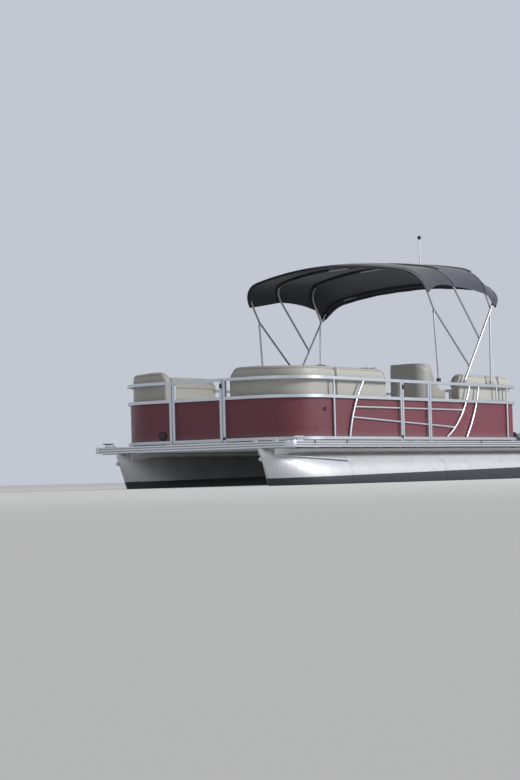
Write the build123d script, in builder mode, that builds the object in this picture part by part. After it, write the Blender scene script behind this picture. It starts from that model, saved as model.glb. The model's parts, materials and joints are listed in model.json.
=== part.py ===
"""A pontoon boat with an open deck, a fenced cockpit, a folding top and a tilted outboard.

Sizes are in millimetres. +X is forward, +Y is to port and +Z is up. The boat stands on its
two keels at Z = 0. A station is a distance aft of the rub rail's front face, and a height
that ends in _UP is above the deck's top face.
"""
import os
from math import atan2, cos, hypot, radians, sin, sqrt

from build123d import *

# Deck and its edge. The length is over the rub rail's ribs.
DECK_LENGTH = 6300
DECK_HALF_WIDTH = 1275
DECK_T = 20
DECK_CORNER_R = 60
WELL_LENGTH = 580
WELL_HALF_WIDTH = 380
CHANNEL_HEIGHT = 55
CHANNEL_WIDTH = 50
CHANNEL_WALL = 5
CHANNEL_PITCH = 408
CHANNEL_FIRST = 130
CHANNEL_COUNT = int((DECK_LENGTH - WELL_LENGTH - CHANNEL_FIRST) / CHANNEL_PITCH) + 1
RUB_RAIL_T = 14
RUB_RAIL_HEIGHT = 65
RUB_RIB_T = 6
RUB_RIB_HEIGHT = 13

# Hulls
PONTOON_DIA = 635
PONTOON_Y = DECK_HALF_WIDTH - 345
PONTOON_END = DECK_LENGTH - 180
NOSE_OVERHANG = 60
NOSE_LENGTH = 1260
STEM_RAKE = 290
NOSE_RAKE_FROM = 0.3
KEEL_DEPTH = 25
KEEL_NOSE = 320
KEEL_WIDTH = 30
RISER_WIDTH = 200
RISER_HEIGHT = 15
RISER_WALL = 8
RISER_FLANGE = 60
SEAM_STATIONS = (1203, 3162, 5120)
SEAM_WIDTH = 10
SEAM_PROUD = 2.5
CAP_DEPTH = 12
CAP_RIM = 8

# Spray strake along the outer side of each nose, and the eye on each stem
STRAKE_FRONT = (150, 605)
STRAKE_AFT = (1090, 552)
STRAKE_OUT = 42
STRAKE_BITE = 25
STRAKE_T = 7
BOW_EYE_Z = 572
BOW_EYE_REACH = 30
BOW_EYE_R = 20
BOW_EYE_T = 10
BOW_EYE_BORE = 9

# The nose by share of its length: top Z, foot Z, share of the tube's half width
NOSE_SECTIONS = (
    (0, 660, 25, 1),
    (0.12, 660, 25, 0.998),
    (0.3, 661, 26, 0.965),
    (0.5, 663, 34, 0.86),
    (0.7, 666, 52, 0.65),
    (0.86, 670, 76, 0.38),
    (0.96, 675, 98, 0.14),
    (1, 683, 108, 0.035),
)

# Fence
FENCE_FRONT = 158
SWIM_DECK = 1326
FENCE_AFT = DECK_LENGTH - SWIM_DECK
FENCE_HALF_WIDTH = DECK_HALF_WIDTH - 49
FENCE_FRONT_R = 562
FENCE_AFT_R = 110
RAIL = 32
RAIL_TOP_UP = 656
RAIL_MID_UP = 463
RAIL_LOW_UP = 29
INFILL_DIA = 24
LINE_DIA = 20
POST_FOOT = 48
POST_FOOT_T = 5
SKIN_T = 4
GATE_GAP = 8
SKIN_END = 26
BOW_GATE_HALF = 334
SIDE_GATE_FRONT = 2265
SIDE_GATE_AFT = 2858
STERN_GATE_OUTER = 860
STERN_GATE_INNER = 360
STARBOARD_SPLICE = 2560

# Hinges of the gates
KNUCKLE_R = 8
KNUCKLE_HEIGHT = 26
HINGE_PIN_R = 4
HINGE_PLAY = 0.1
HINGE_LEAF = 5
HINGE_LEAF_LENGTH = 22
HINGE_BITE = 1
HINGE_FACE = 0.3
HINGE_UP = (120, 560)

# Couches
COUCH_GAP = 18
COUCH_DEPTH = 590
COUCH_BACK_T = 140
COUCH_BASE_HEIGHT = 300
COUCH_SEAT_T = 120
COUCH_BACK_UP = 790
COUCH_CORNER_R = 45
TOE_HEIGHT = 60
TOE_DEPTH = 45
SOFT_GAP = 0.3
PORT_COUCH_END = 2160
STARBOARD_COUCH_END = 2000
PORT_COUCH_INNER = 365
STARBOARD_COUCH_INNER = 460
AFT_COUCH_FRONT = FENCE_AFT - 1324
AFT_COUCH_INNER = 580

# Helm
CONSOLE_FRONT = FENCE_AFT - 1924
CONSOLE_DEPTH = 500
CONSOLE_INNER = 320
CONSOLE_OUTER = FENCE_HALF_WIDTH - 96
CONSOLE_UP = 880
DASH_UP = 700
DASH_SLOPE = 150
WHEEL_R = 175
WHEEL_TUBE = 13
WHEEL_Y = -560
WHEEL_REACH = 95

# Chairs: station, side and heading of each
CHAIR_WIDTH = 520
CHAIR_DEPTH = 520
CHAIR_SHELL_T = 28
CHAIR_SEAT_UP = 400
CHAIR_SEAT_T = 90
CHAIR_BACK_UP = 955
CHAIR_ARM_UP = 650
CHAIR_BACK_T = 85
CHAIR_ARM_T = 45
CHAIR_CORNER_R = 150
CHAIR_MOUTH_R = 60
PEDESTAL_R = 38
PEDESTAL_FOOT_R = 150
SPINDLE_R = 15
SPINDLE_PLAY = 0.08
HELM_CHAIR = (FENCE_AFT - 924, -560, 0)
GUEST_CHAIR = (FENCE_AFT - 714, FENCE_HALF_WIDTH - 1006, 180)

# Motor pod and outboard. The outboard's own directions are aft and up when it is down.
POD_FRONT = DECK_LENGTH - 1050
POD_TOP_DROP = 260
POD_BOTTOM_Z = 130
POD_HALF_WIDTH = 420
TRANSOM_T = 45
TRANSOM_TOP_DROP = 110
TRANSOM_AFT = DECK_LENGTH + 45
TILT_REST = 62
TILT_TUBE_R = 16
TILT_TUBE_RISE = 40
STEER_AXIS_AFT = 165
PROP_AXIS_DOWN = 720
PROP_R = 160
PROP_BLADES = 3
PROP_PITCH = 42
PROP_CHORD = 105
PROP_HUB_LENGTH = 90
PROP_AFT = 500
PLATE_DOWN = 550
SKEG_DOWN = 960
SKEG_AFT = 450

# Swim ladder
LADDER_Y = -850
LADDER_HALF_WIDTH = 165
LADDER_TUBE = 25
LADDER_LENGTH = 900
LADDER_RUNGS = 4
LADDER_OFFSET = 34
LADDER_UP = 42

# Folding top. Legs are given by (station, height above the deck).
BOW_TUBE = 25
BOW_HALF_WIDTH = FENCE_HALF_WIDTH - RAIL / 2
SHOULDER_R = 0.24 * BOW_HALF_WIDTH
CROWN_R = 3.3 * BOW_HALF_WIDTH
CROWN_RISE = 0.25 * BOW_HALF_WIDTH
FOOT_LENGTH = 46
FOOT_WIDTH = 26
MAIN_FOOT = (FENCE_AFT - 1274, 700)
MAIN_SHOULDER = (FENCE_AFT - 400, 1819)
FRONT_HINGE_ALONG = 215
MID_HINGE_ALONG = 640
AFT_HINGE_ALONG = 1120
HINGE_OFFSET = 34
FRONT_KNEE = (FENCE_AFT - 1947, 1510)
FRONT_SHOULDER = (FENCE_AFT - 2203, 1886)
KNEE_R = 200
MID_SHOULDER = (FENCE_AFT - 1643, 1950)
AFT_SHOULDER = (FENCE_AFT - 874, 1982)
FRONT_BRACE_FOOT = (FENCE_AFT - 1873, 700)
REAR_BRACE_FOOT = (FENCE_AFT - 644, 700)
REAR_BRACE_ALONG = 1070
BRACE_TUBE = 22
CANOPY_T = 4
CANOPY_FRONT_HEM = (-48, -6)
CANOPY_REAR_HEM = (60, -25)
LIGHT_POLE_Y = 80
LIGHT_POLE_UP = 2560
LIGHT_POLE_R = 7

# Levels that follow from the sizes
HULL_Z = KEEL_DEPTH + PONTOON_DIA / 2
HULL_TOP = KEEL_DEPTH + PONTOON_DIA
CHANNEL_Z = HULL_TOP + RISER_HEIGHT
DECK_UNDER = CHANNEL_Z + CHANNEL_HEIGHT
DECK_TOP = DECK_UNDER + DECK_T
RIB_OUT = RUB_RAIL_T + RUB_RIB_T
RAIL_UPS = (RAIL_LOW_UP, RAIL_MID_UP, RAIL_TOP_UP)
RAIL_CENTRE = FENCE_HALF_WIDTH - RAIL / 2
SKIN_TOP_UP = RAIL_MID_UP + RAIL / 2
SKIN_LOW_UP = RAIL_LOW_UP - RAIL / 2

# The tilt tube's station and height, and how far aft the tilted skeg reaches
TILT_STATION = TRANSOM_AFT - 15
TILT_Z = DECK_TOP - TRANSOM_TOP_DROP + TILT_TUBE_RISE
SKEG_REACH = SKEG_AFT * cos(radians(TILT_REST)) + SKEG_DOWN * sin(radians(TILT_REST))
AFT_END = TILT_STATION + SKEG_REACH
BOW_X = (AFT_END - NOSE_OVERHANG) / 2


def at(station, side=0, up=0):
    """A point at a station, a distance to port and a height above the deck."""
    return (BOW_X - station, side, DECK_TOP + up)


def plan(front, aft, half_width, front_r, aft_r):
    """A plan outline between two stations, with rounded corners."""
    with BuildSketch() as outline:
        with Locations((BOW_X - (front + aft) / 2, 0)):
            Rectangle(aft - front, 2 * half_width)
        fillet(outline.vertices().sort_by(Axis.X)[-2:], front_r)
        fillet(outline.vertices().sort_by(Axis.X)[:2], aft_r)
    return outline.sketch


def fence_plan(inset):
    """The fence's outer outline moved inwards."""
    front_r = max(FENCE_FRONT_R - inset, COUCH_CORNER_R)
    aft_r = max(FENCE_AFT_R - inset, COUCH_CORNER_R)
    return plan(FENCE_FRONT + inset, FENCE_AFT - inset, FENCE_HALF_WIDTH - inset, front_r, aft_r)


def ring(outer, inner):
    """What lies between two outlines."""
    with BuildSketch() as band:
        add(outer)
        add(inner, mode=Mode.SUBTRACT)
    return band.sketch


def clip(sketch, front, aft, low_side, high_side):
    """The part of a sketch between two stations and two sides."""
    with BuildSketch() as piece:
        add(sketch)
        with Locations((BOW_X - (front + aft) / 2, (low_side + high_side) / 2)):
            Rectangle(aft - front, high_side - low_side, mode=Mode.INTERSECT)
    return piece.sketch


def level(up):
    """A horizontal plane at a height above the deck."""
    return Plane.XY.offset(DECK_TOP + up)


def side_plane(side):
    """An upright plane along the boat, drawn in (X, Z)."""
    return Plane(origin=(0, side, 0), x_dir=(1, 0, 0), z_dir=(0, -1, 0))


# Fence sections: front and aft station, low and high side
FAR = FENCE_HALF_WIDTH + 100
BOW_POST = BOW_GATE_HALF
FENCE_SECTIONS = {
    "port_bow": (0, SIDE_GATE_FRONT - GATE_GAP / 2, BOW_POST, FAR),
    "port_aft": (SIDE_GATE_AFT + GATE_GAP / 2, DECK_LENGTH, -STERN_GATE_INNER, FAR),
    "starboard_bow": (0, STARBOARD_SPLICE, -FAR, -BOW_POST),
    "starboard_aft": (STARBOARD_SPLICE, DECK_LENGTH, -FAR, -STERN_GATE_OUTER),
}
RAIL_RING = ring(fence_plan(0), fence_plan(RAIL))
SKIN_RING = ring(fence_plan(RAIL), fence_plan(RAIL + SKIN_T))
COUCH_IN = RAIL + SKIN_T + COUCH_GAP
COUCH_SPLIT = COUCH_IN + COUCH_BACK_T
COUCH_RING = ring(fence_plan(COUCH_IN), fence_plan(COUCH_IN + COUCH_DEPTH))
TOE_RING = ring(fence_plan(COUCH_IN), fence_plan(COUCH_IN + COUCH_DEPTH - TOE_DEPTH))
BACK_RING = ring(fence_plan(COUCH_IN), fence_plan(COUCH_SPLIT))
SEAT_RING = ring(fence_plan(COUCH_SPLIT + SOFT_GAP), fence_plan(COUCH_IN + COUCH_DEPTH))

# Square posts of each section: station, side
END = RAIL / 2
POSTS = {
    "port_bow": [
        (FENCE_FRONT + END, BOW_POST + END),
        (SIDE_GATE_FRONT - GATE_GAP / 2 - END, RAIL_CENTRE),
    ],
    "port_aft": [
        (SIDE_GATE_AFT + GATE_GAP / 2 + END, RAIL_CENTRE),
        (FENCE_AFT - END, 300),
        (FENCE_AFT - END, END - STERN_GATE_INNER),
    ],
    "starboard_bow": [
        (FENCE_FRONT + END, -BOW_POST - END),
        (STARBOARD_SPLICE - END, -RAIL_CENTRE),
    ],
    "starboard_aft": [
        (STARBOARD_SPLICE + END, -RAIL_CENTRE),
        (FENCE_AFT - END, -STERN_GATE_OUTER - END),
    ],
}
# Slim round uprights of each section: station, side, foot and top height
PALES = {
    "port_bow": [(921, RAIL_CENTRE, RAIL_LOW_UP, RAIL_TOP_UP)],
    "port_aft": [
        (FENCE_AFT - 518, RAIL_CENTRE, RAIL_MID_UP, RAIL_TOP_UP),
        (FENCE_AFT - 259, RAIL_CENTRE, RAIL_LOW_UP, RAIL_TOP_UP),
    ],
    "starboard_bow": [
        (921, -RAIL_CENTRE, RAIL_LOW_UP, RAIL_TOP_UP),
        (1750, -RAIL_CENTRE, RAIL_LOW_UP, RAIL_TOP_UP),
    ],
    "starboard_aft": [
        (3640, -RAIL_CENTRE, RAIL_LOW_UP, RAIL_TOP_UP),
        (FENCE_AFT - 259, -RAIL_CENTRE, RAIL_LOW_UP, RAIL_TOP_UP),
    ],
}

# Curved infill tubes: (station, up) at the top, on the way and at the foot
BOW_SWOOP = ((1498, 640), (1345, 420), (1212, 45))
AFT_SWOOP = ((3800, 640), (3650, 365), (3247, 45))
STERN_SWOOP = ((4020, 640), (3885, 300), (3705, 45))
# Long infill tubes: (station, up) at the front and at the aft end
UPPER_LINE = ((1322, 360), (3640, 360))
LOWER_LINE = ((1266, 250), (3440, 160))


def line_up(line, station):
    """The height of a long infill tube at a station."""
    (front, front_up), (aft, aft_up) = line
    return front_up + (aft_up - front_up) * (station - front) / (aft - front)


def infill_lines(front, aft, side):
    """The end points of both long tubes between two stations."""
    ends = []
    for line in (UPPER_LINE, LOWER_LINE):
        low = max(front, line[0][0])
        high = min(aft, line[1][0])
        ends.append((at(low, side, line_up(line, low)), at(high, side, line_up(line, high))))
    return ends


def add_tube(points, diameter, radius=None):
    """A round bar through points, with rounded corners, added to the part in hand."""
    with BuildLine() as route:
        if radius is None:
            Polyline(*points)
        else:
            FilletPolyline(*points, radius=radius)
    with BuildSketch(Plane(origin=route.line @ 0, z_dir=route.line % 0)) as face:
        Circle(diameter / 2)
    sweep(face.sketch, path=route.line)


def add_arc_tube(points, side, diameter):
    """A round bar bent through three (station, up) points."""
    with BuildLine() as route:
        ThreePointArc(*[at(station, side, up) for station, up in points])
    with BuildSketch(Plane(origin=route.line @ 0, z_dir=route.line % 0)) as face:
        Circle(diameter / 2)
    sweep(face.sketch, path=route.line)


def add_block(low, high, base, height):
    """An upright block over a rectangle given by two (X, Y) corners."""
    with BuildSketch(Plane.XY.offset(base)) as face:
        with Locations(((low[0] + high[0]) / 2, (low[1] + high[1]) / 2)):
            Rectangle(abs(high[0] - low[0]), abs(high[1] - low[1]))
    extrude(face.sketch, amount=height)


def add_upright(centre, radius, base, height, mode=Mode.ADD):
    """An upright cylinder at (X, Y)."""
    with BuildSketch(Plane.XY.offset(base)) as face:
        with Locations(centre):
            Circle(radius)
    extrude(face.sketch, amount=height, mode=mode)


def add_knuckles(hinge, along, toward, upper):
    """Both hinges on an upright axis. along points to the leaf, toward to the fence."""
    x, y = hinge
    near = (x + toward[0] * (KNUCKLE_R - HINGE_LEAF), y + toward[1] * (KNUCKLE_R - HINGE_LEAF))
    reach = KNUCKLE_R + HINGE_BITE
    far_x = x + toward[0] * reach + along[0] * HINGE_LEAF_LENGTH
    far_y = y + toward[1] * reach + along[1] * HINGE_LEAF_LENGTH
    for up in HINGE_UP:
        base = DECK_TOP + up
        height = KNUCKLE_HEIGHT
        if upper:
            base += KNUCKLE_HEIGHT + HINGE_FACE
            height -= HINGE_FACE
        add_block(near, (far_x, far_y), base, height)
        add_upright(hinge, KNUCKLE_R, base, height)
        if upper:
            add_upright(hinge, HINGE_PIN_R + HINGE_PLAY, base, height, Mode.SUBTRACT)
        else:
            add_upright(hinge, HINGE_PIN_R, base + height, KNUCKLE_HEIGHT)


def stem_rake(share):
    """How far a nose section's foot lies behind its top."""
    return STEM_RAKE * max(0, share - NOSE_RAKE_FROM) / (1 - NOSE_RAKE_FROM)


def nose_side(share, top_z, foot_z, half, z):
    """(distance ahead of the tube, half width) of one nose section at a height."""
    down = (top_z - z) / (top_z - foot_z)
    half_width = PONTOON_DIA / 2 * half * sqrt(1 - (1 - 2 * down) ** 2)
    return (NOSE_LENGTH * share - stem_rake(share) * down, half_width)


def strake_outline():
    """The strake's outer and inner edges as (ahead of the tube, out from the hull's middle)."""
    tube_station = NOSE_LENGTH - NOSE_OVERHANG
    (front, front_z), (aft, aft_z) = STRAKE_FRONT, STRAKE_AFT
    edge = []
    for share, top_z, foot_z, half in NOSE_SECTIONS[:-2]:
        along = (tube_station - NOSE_LENGTH * share - front) / (aft - front)
        z = front_z + (aft_z - front_z) * along
        edge.append(nose_side(share, top_z, foot_z, half, z))
    outer = [(x, half_width + STRAKE_OUT) for x, half_width in edge[:-1]]
    inner = [(x, half_width - STRAKE_BITE) for x, half_width in edge]
    return outer + [edge[-1]] + inner[::-1]


def pontoon(side):
    """One hull: a raked nose, a tube, its keel and the bracket along its top."""
    y = side * PONTOON_Y
    nose_x = BOW_X + NOSE_OVERHANG
    tube_x = nose_x - NOSE_LENGTH
    aft_x = BOW_X - PONTOON_END
    radius = PONTOON_DIA / 2
    sections = []
    with BuildPart() as hull:
        for share, top_z, foot_z, half in NOSE_SECTIONS:
            top = Vector(tube_x + NOSE_LENGTH * share, y, top_z)
            foot = Vector(tube_x + NOSE_LENGTH * share - stem_rake(share), y, foot_z)
            lean = top - foot
            centre = (top + foot) / 2
            face = Plane(origin=centre, x_dir=(0, 1, 0), z_dir=lean.cross(Vector(0, 1, 0)))
            with BuildSketch(face, mode=Mode.PRIVATE) as section:
                Ellipse(radius * half, lean.length / 2)
            sections.append(section.sketch.face())
        loft(sections[:-1])
        loft(sections[-2:], ruled=True)
        with BuildSketch(Plane(origin=(aft_x, y, HULL_Z), x_dir=(0, 1, 0), z_dir=(1, 0, 0))):
            Circle(radius)
        extrude(amount=tube_x - aft_x)
        for station in SEAM_STATIONS:
            seam = Plane(origin=(BOW_X - station, y, HULL_Z), x_dir=(0, 1, 0), z_dir=(1, 0, 0))
            with BuildSketch(seam):
                Circle(radius + SEAM_PROUD)
            extrude(amount=SEAM_WIDTH / 2, both=True)
        keel_front = tube_x + KEEL_NOSE
        with Locations(((keel_front + aft_x) / 2, y, KEEL_DEPTH)):
            Box(keel_front - aft_x, KEEL_WIDTH, 2 * KEEL_DEPTH)
        with BuildSketch(Plane(origin=(aft_x, y, 0), x_dir=(0, 1, 0), z_dir=(1, 0, 0))):
            with Locations((0, CHANNEL_Z - RISER_WALL / 2)):
                Rectangle(RISER_WIDTH + 2 * RISER_WALL, RISER_WALL)
            flange_z = CHANNEL_Z - RISER_FLANGE / 2
            with Locations((-RISER_WIDTH / 2, flange_z), (RISER_WIDTH / 2, flange_z)):
                Rectangle(RISER_WALL, RISER_FLANGE)
        extrude(amount=BOW_X - CHANNEL_FIRST + CHANNEL_WIDTH - aft_x)
        with BuildSketch(Plane(origin=(aft_x, y, HULL_Z), x_dir=(0, 1, 0), z_dir=(1, 0, 0))):
            Circle(radius - CAP_RIM)
        extrude(amount=CAP_DEPTH, mode=Mode.SUBTRACT)

        # The strake lies in a plane that comes down towards the tube
        (front, front_z), (aft, aft_z) = STRAKE_FRONT, STRAKE_AFT
        fall = (aft_z - front_z) / (aft - front)
        tube_z = front_z + fall * (NOSE_LENGTH - NOSE_OVERHANG - front)
        slope = hypot(1, fall)
        blade = Plane(
            origin=(tube_x, y, tube_z), x_dir=(1, 0, -fall), z_dir=(fall, 0, 1)
        )
        corners = [(x * slope, side * out) for x, out in strake_outline()]
        with BuildSketch(blade):
            with BuildLine():
                Polyline(*corners, close=True)
            make_face()
        extrude(amount=STRAKE_T)

        # The eye stands out of the stem
        stem_x = tube_x + nose_side(*NOSE_SECTIONS[-1], BOW_EYE_Z)[0]
        with BuildSketch(side_plane(y + BOW_EYE_T / 2)):
            with Locations((stem_x + BOW_EYE_REACH, BOW_EYE_Z)):
                Circle(BOW_EYE_R)
            with Locations((stem_x, BOW_EYE_Z)):
                Rectangle(2 * BOW_EYE_REACH, 2 * BOW_EYE_R)
            with Locations((stem_x + BOW_EYE_REACH, BOW_EYE_Z)):
                Circle(BOW_EYE_BORE, mode=Mode.SUBTRACT)
        extrude(amount=BOW_EYE_T)
    return hull


pontoon_port = pontoon(1)
pontoon_starboard = pontoon(-1)

with BuildPart() as cross_channels:
    channel_half = DECK_HALF_WIDTH - 25
    channel_plane = Plane(origin=(0, -channel_half, 0), x_dir=(1, 0, 0), z_dir=(0, -1, 0))
    for index in range(CHANNEL_COUNT):
        station = CHANNEL_FIRST + index * CHANNEL_PITCH
        with BuildSketch(channel_plane):
            with Locations((BOW_X - station, CHANNEL_Z + CHANNEL_HEIGHT / 2)):
                Rectangle(CHANNEL_WIDTH, CHANNEL_HEIGHT)
            with Locations((BOW_X - station - CHANNEL_WALL, CHANNEL_Z + CHANNEL_HEIGHT / 2)):
                Rectangle(CHANNEL_WIDTH, CHANNEL_HEIGHT - 2 * CHANNEL_WALL, mode=Mode.SUBTRACT)
        extrude(amount=-2 * channel_half)

DECK_PLAN = plan(
    RIB_OUT, DECK_LENGTH - RIB_OUT, DECK_HALF_WIDTH, DECK_CORNER_R, DECK_CORNER_R
)
with BuildPart() as deck:
    with BuildSketch(Plane.XY.offset(DECK_UNDER)) as deck_face:
        add(DECK_PLAN)
        with Locations((BOW_X - DECK_LENGTH, 0)):
            Rectangle(2 * WELL_LENGTH, 2 * WELL_HALF_WIDTH, mode=Mode.SUBTRACT)
    extrude(amount=DECK_T)

RAIL_OUTER = plan(
    RUB_RIB_T, DECK_LENGTH - RUB_RIB_T, DECK_HALF_WIDTH + RUB_RAIL_T,
    DECK_CORNER_R + RUB_RAIL_T, DECK_CORNER_R + RUB_RAIL_T,
)
RIB_OUTER = plan(
    0, DECK_LENGTH, DECK_HALF_WIDTH + RIB_OUT,
    DECK_CORNER_R + RIB_OUT, DECK_CORNER_R + RIB_OUT,
)
with BuildPart() as rub_rail:
    with BuildSketch(Plane.XY.offset(DECK_TOP - RUB_RAIL_HEIGHT)):
        add(ring(RAIL_OUTER, DECK_PLAN))
    extrude(amount=RUB_RAIL_HEIGHT)
    for drop in (RUB_RAIL_HEIGHT, (RUB_RAIL_HEIGHT + RUB_RIB_HEIGHT) / 2, RUB_RIB_HEIGHT):
        with BuildSketch(Plane.XY.offset(DECK_TOP - drop)):
            add(ring(RIB_OUTER, DECK_PLAN))
        extrude(amount=RUB_RIB_HEIGHT)
    with Locations(at(DECK_LENGTH, 0, -RUB_RAIL_HEIGHT / 2)):
        Box(4 * RIB_OUT, 2 * WELL_HALF_WIDTH, 2 * RUB_RAIL_HEIGHT, mode=Mode.SUBTRACT)


def fence(name):
    """One fence section: three rails, its posts on feet, and its infill tubes."""
    section = clip(RAIL_RING, *FENCE_SECTIONS[name])
    front, aft = FENCE_SECTIONS[name][:2]
    with BuildPart() as frame:
        for up in RAIL_UPS:
            with BuildSketch(level(up - RAIL / 2)):
                add(section)
            extrude(amount=RAIL)
        for station, side in POSTS[name]:
            with Locations(at(station, side, RAIL_TOP_UP / 2)):
                Box(RAIL, RAIL, RAIL_TOP_UP)
            with Locations(at(station, side, POST_FOOT_T / 2)):
                Box(RAIL, POST_FOOT, POST_FOOT_T)
        for station, side, foot_up, top_up in PALES[name]:
            add_tube((at(station, side, foot_up), at(station, side, top_up)), INFILL_DIA)
        if name == "port_bow":
            add_arc_tube(BOW_SWOOP, RAIL_CENTRE, INFILL_DIA)
            for start, end in infill_lines(front, aft - END, RAIL_CENTRE):
                add_tube((start, end), LINE_DIA)
        if name == "port_aft":
            add_arc_tube(AFT_SWOOP, RAIL_CENTRE, INFILL_DIA)
            add_arc_tube(STERN_SWOOP, RAIL_CENTRE, INFILL_DIA)
            for start, end in infill_lines(front + END, aft, RAIL_CENTRE):
                add_tube((start, end), LINE_DIA)
        if name == "starboard_bow":
            add_arc_tube(BOW_SWOOP, -RAIL_CENTRE, INFILL_DIA)
            add_knuckles(BOW_HINGE, (0, -1), (1, 0), upper=False)
        if name == "starboard_aft":
            add_arc_tube(AFT_SWOOP, -RAIL_CENTRE, INFILL_DIA)
            add_arc_tube(STERN_SWOOP, -RAIL_CENTRE, INFILL_DIA)
            add_knuckles(STERN_HINGE, (0, -1), (-1, 0), upper=False)
        if name == "port_aft":
            add_knuckles(SIDE_HINGE, (-1, 0), (0, 1), upper=False)
    return frame


# Hinge axes of the gates, in (X, Y), just inside the fence
HINGE_IN = RAIL + KNUCKLE_R
BOW_HINGE = (BOW_X - FENCE_FRONT - HINGE_IN, -BOW_POST + GATE_GAP / 2)
SIDE_HINGE = (BOW_X - SIDE_GATE_AFT, FENCE_HALF_WIDTH - HINGE_IN)
STERN_HINGE = (BOW_X - FENCE_AFT + HINGE_IN, -STERN_GATE_OUTER + GATE_GAP / 2)

fence_port_bow = fence("port_bow")
fence_port_aft = fence("port_aft")
fence_starboard_bow = fence("starboard_bow")
fence_starboard_aft = fence("starboard_aft")


# Skins stop short of each gate: front and aft station, low and high side
SKIN_SECTIONS = (
    (0, SIDE_GATE_FRONT - SKIN_END, BOW_POST + SKIN_END, FAR),
    (SIDE_GATE_AFT + SKIN_END, DECK_LENGTH, SKIN_END - STERN_GATE_INNER, FAR),
    (0, STARBOARD_SPLICE, -FAR, -BOW_POST - SKIN_END),
    (STARBOARD_SPLICE, DECK_LENGTH, -FAR, -STERN_GATE_OUTER - SKIN_END),
)
with BuildPart() as fence_skins:
    for place in SKIN_SECTIONS:
        with BuildSketch(level(SKIN_LOW_UP)):
            add(clip(SKIN_RING, *place))
        extrude(amount=SKIN_TOP_UP - SKIN_LOW_UP)


def gate_frame(width, along, hinge, leaf, lines=()):
    """A gate of square tube. along turns a place in the gate into (X, Y)."""
    with BuildPart() as gate:
        middle = (RAIL_TOP_UP + RAIL_LOW_UP) / 2
        height = RAIL_TOP_UP - RAIL_LOW_UP + RAIL
        for place in (RAIL / 2, width - RAIL / 2):
            x, y = along(place)
            with Locations((x, y, DECK_TOP + middle)):
                Box(RAIL, RAIL, height)
        x0, y0 = along(0)
        x1, y1 = along(width)
        for up in RAIL_UPS:
            with Locations(((x0 + x1) / 2, (y0 + y1) / 2, DECK_TOP + up)):
                Box(max(abs(x1 - x0), RAIL), max(abs(y1 - y0), RAIL), RAIL)
        for start, end in lines:
            add_tube((start, end), LINE_DIA)
        add_knuckles(hinge, *leaf, upper=True)
    return gate


def gate_skin(width, along, inward):
    """The sheet panel behind a gate's lower half."""
    x0, y0 = along(SKIN_END)
    x1, y1 = along(width - SKIN_END)
    shift = (RAIL + SKIN_T) / 2
    with BuildPart() as sheet:
        centre_x = (x0 + x1) / 2 + inward[0] * shift
        centre_y = (y0 + y1) / 2 + inward[1] * shift
        centre_up = (SKIN_LOW_UP + SKIN_TOP_UP) / 2
        with Locations((centre_x, centre_y, DECK_TOP + centre_up)):
            Box(
                max(abs(x1 - x0), SKIN_T),
                max(abs(y1 - y0), SKIN_T),
                SKIN_TOP_UP - SKIN_LOW_UP,
            )
    return sheet


BOW_GATE_WIDTH = 2 * (BOW_GATE_HALF - GATE_GAP)
SIDE_GATE_WIDTH = SIDE_GATE_AFT - SIDE_GATE_FRONT - GATE_GAP
STERN_GATE_WIDTH = STERN_GATE_OUTER - STERN_GATE_INNER - 2 * GATE_GAP


def bow_gate_at(place):
    return (BOW_X - FENCE_FRONT - RAIL / 2, place - BOW_GATE_HALF + GATE_GAP)


def side_gate_at(place):
    return (BOW_X - SIDE_GATE_AFT + GATE_GAP / 2 + place, RAIL_CENTRE)


def stern_gate_at(place):
    return (BOW_X - FENCE_AFT + RAIL / 2, place - STERN_GATE_OUTER + GATE_GAP)


side_lines = infill_lines(
    SIDE_GATE_FRONT + GATE_GAP / 2 + END, SIDE_GATE_AFT - GATE_GAP / 2 - END, RAIL_CENTRE
)
BOW_LEAF = ((0, 1), (1, 0))
SIDE_LEAF = ((1, 0), (0, 1))
STERN_LEAF = ((0, 1), (-1, 0))
bow_gate = gate_frame(BOW_GATE_WIDTH, bow_gate_at, BOW_HINGE, BOW_LEAF)
side_gate = gate_frame(SIDE_GATE_WIDTH, side_gate_at, SIDE_HINGE, SIDE_LEAF, side_lines)
stern_gate = gate_frame(STERN_GATE_WIDTH, stern_gate_at, STERN_HINGE, STERN_LEAF)
bow_gate_skin = gate_skin(BOW_GATE_WIDTH, bow_gate_at, (-1, 0))
side_gate_skin = gate_skin(SIDE_GATE_WIDTH, side_gate_at, (0, -1))
stern_gate_skin = gate_skin(STERN_GATE_WIDTH, stern_gate_at, (1, 0))

# Couches: front and aft station, low and high side
BOW_COUCHES = (
    (0, PORT_COUCH_END, PORT_COUCH_INNER, FAR),
    (0, STARBOARD_COUCH_END, -FAR, -STARBOARD_COUCH_INNER),
)
AFT_COUCH = ((AFT_COUCH_FRONT, DECK_LENGTH, AFT_COUCH_INNER, FAR),)


def couch_layer(band, places, low_up, high_up, soften=0):
    """One layer of the couches, as solids with a rounded top where it is soft."""
    with BuildPart() as layer:
        for place in places:
            with BuildSketch(level(low_up)):
                add(clip(band, *place))
            extrude(amount=high_up - low_up)
        if soften:
            top = layer.faces().filter_by(Axis.Z).group_by(Axis.Z)[-1]
            fillet(top.edges(), soften)
    return layer


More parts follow.
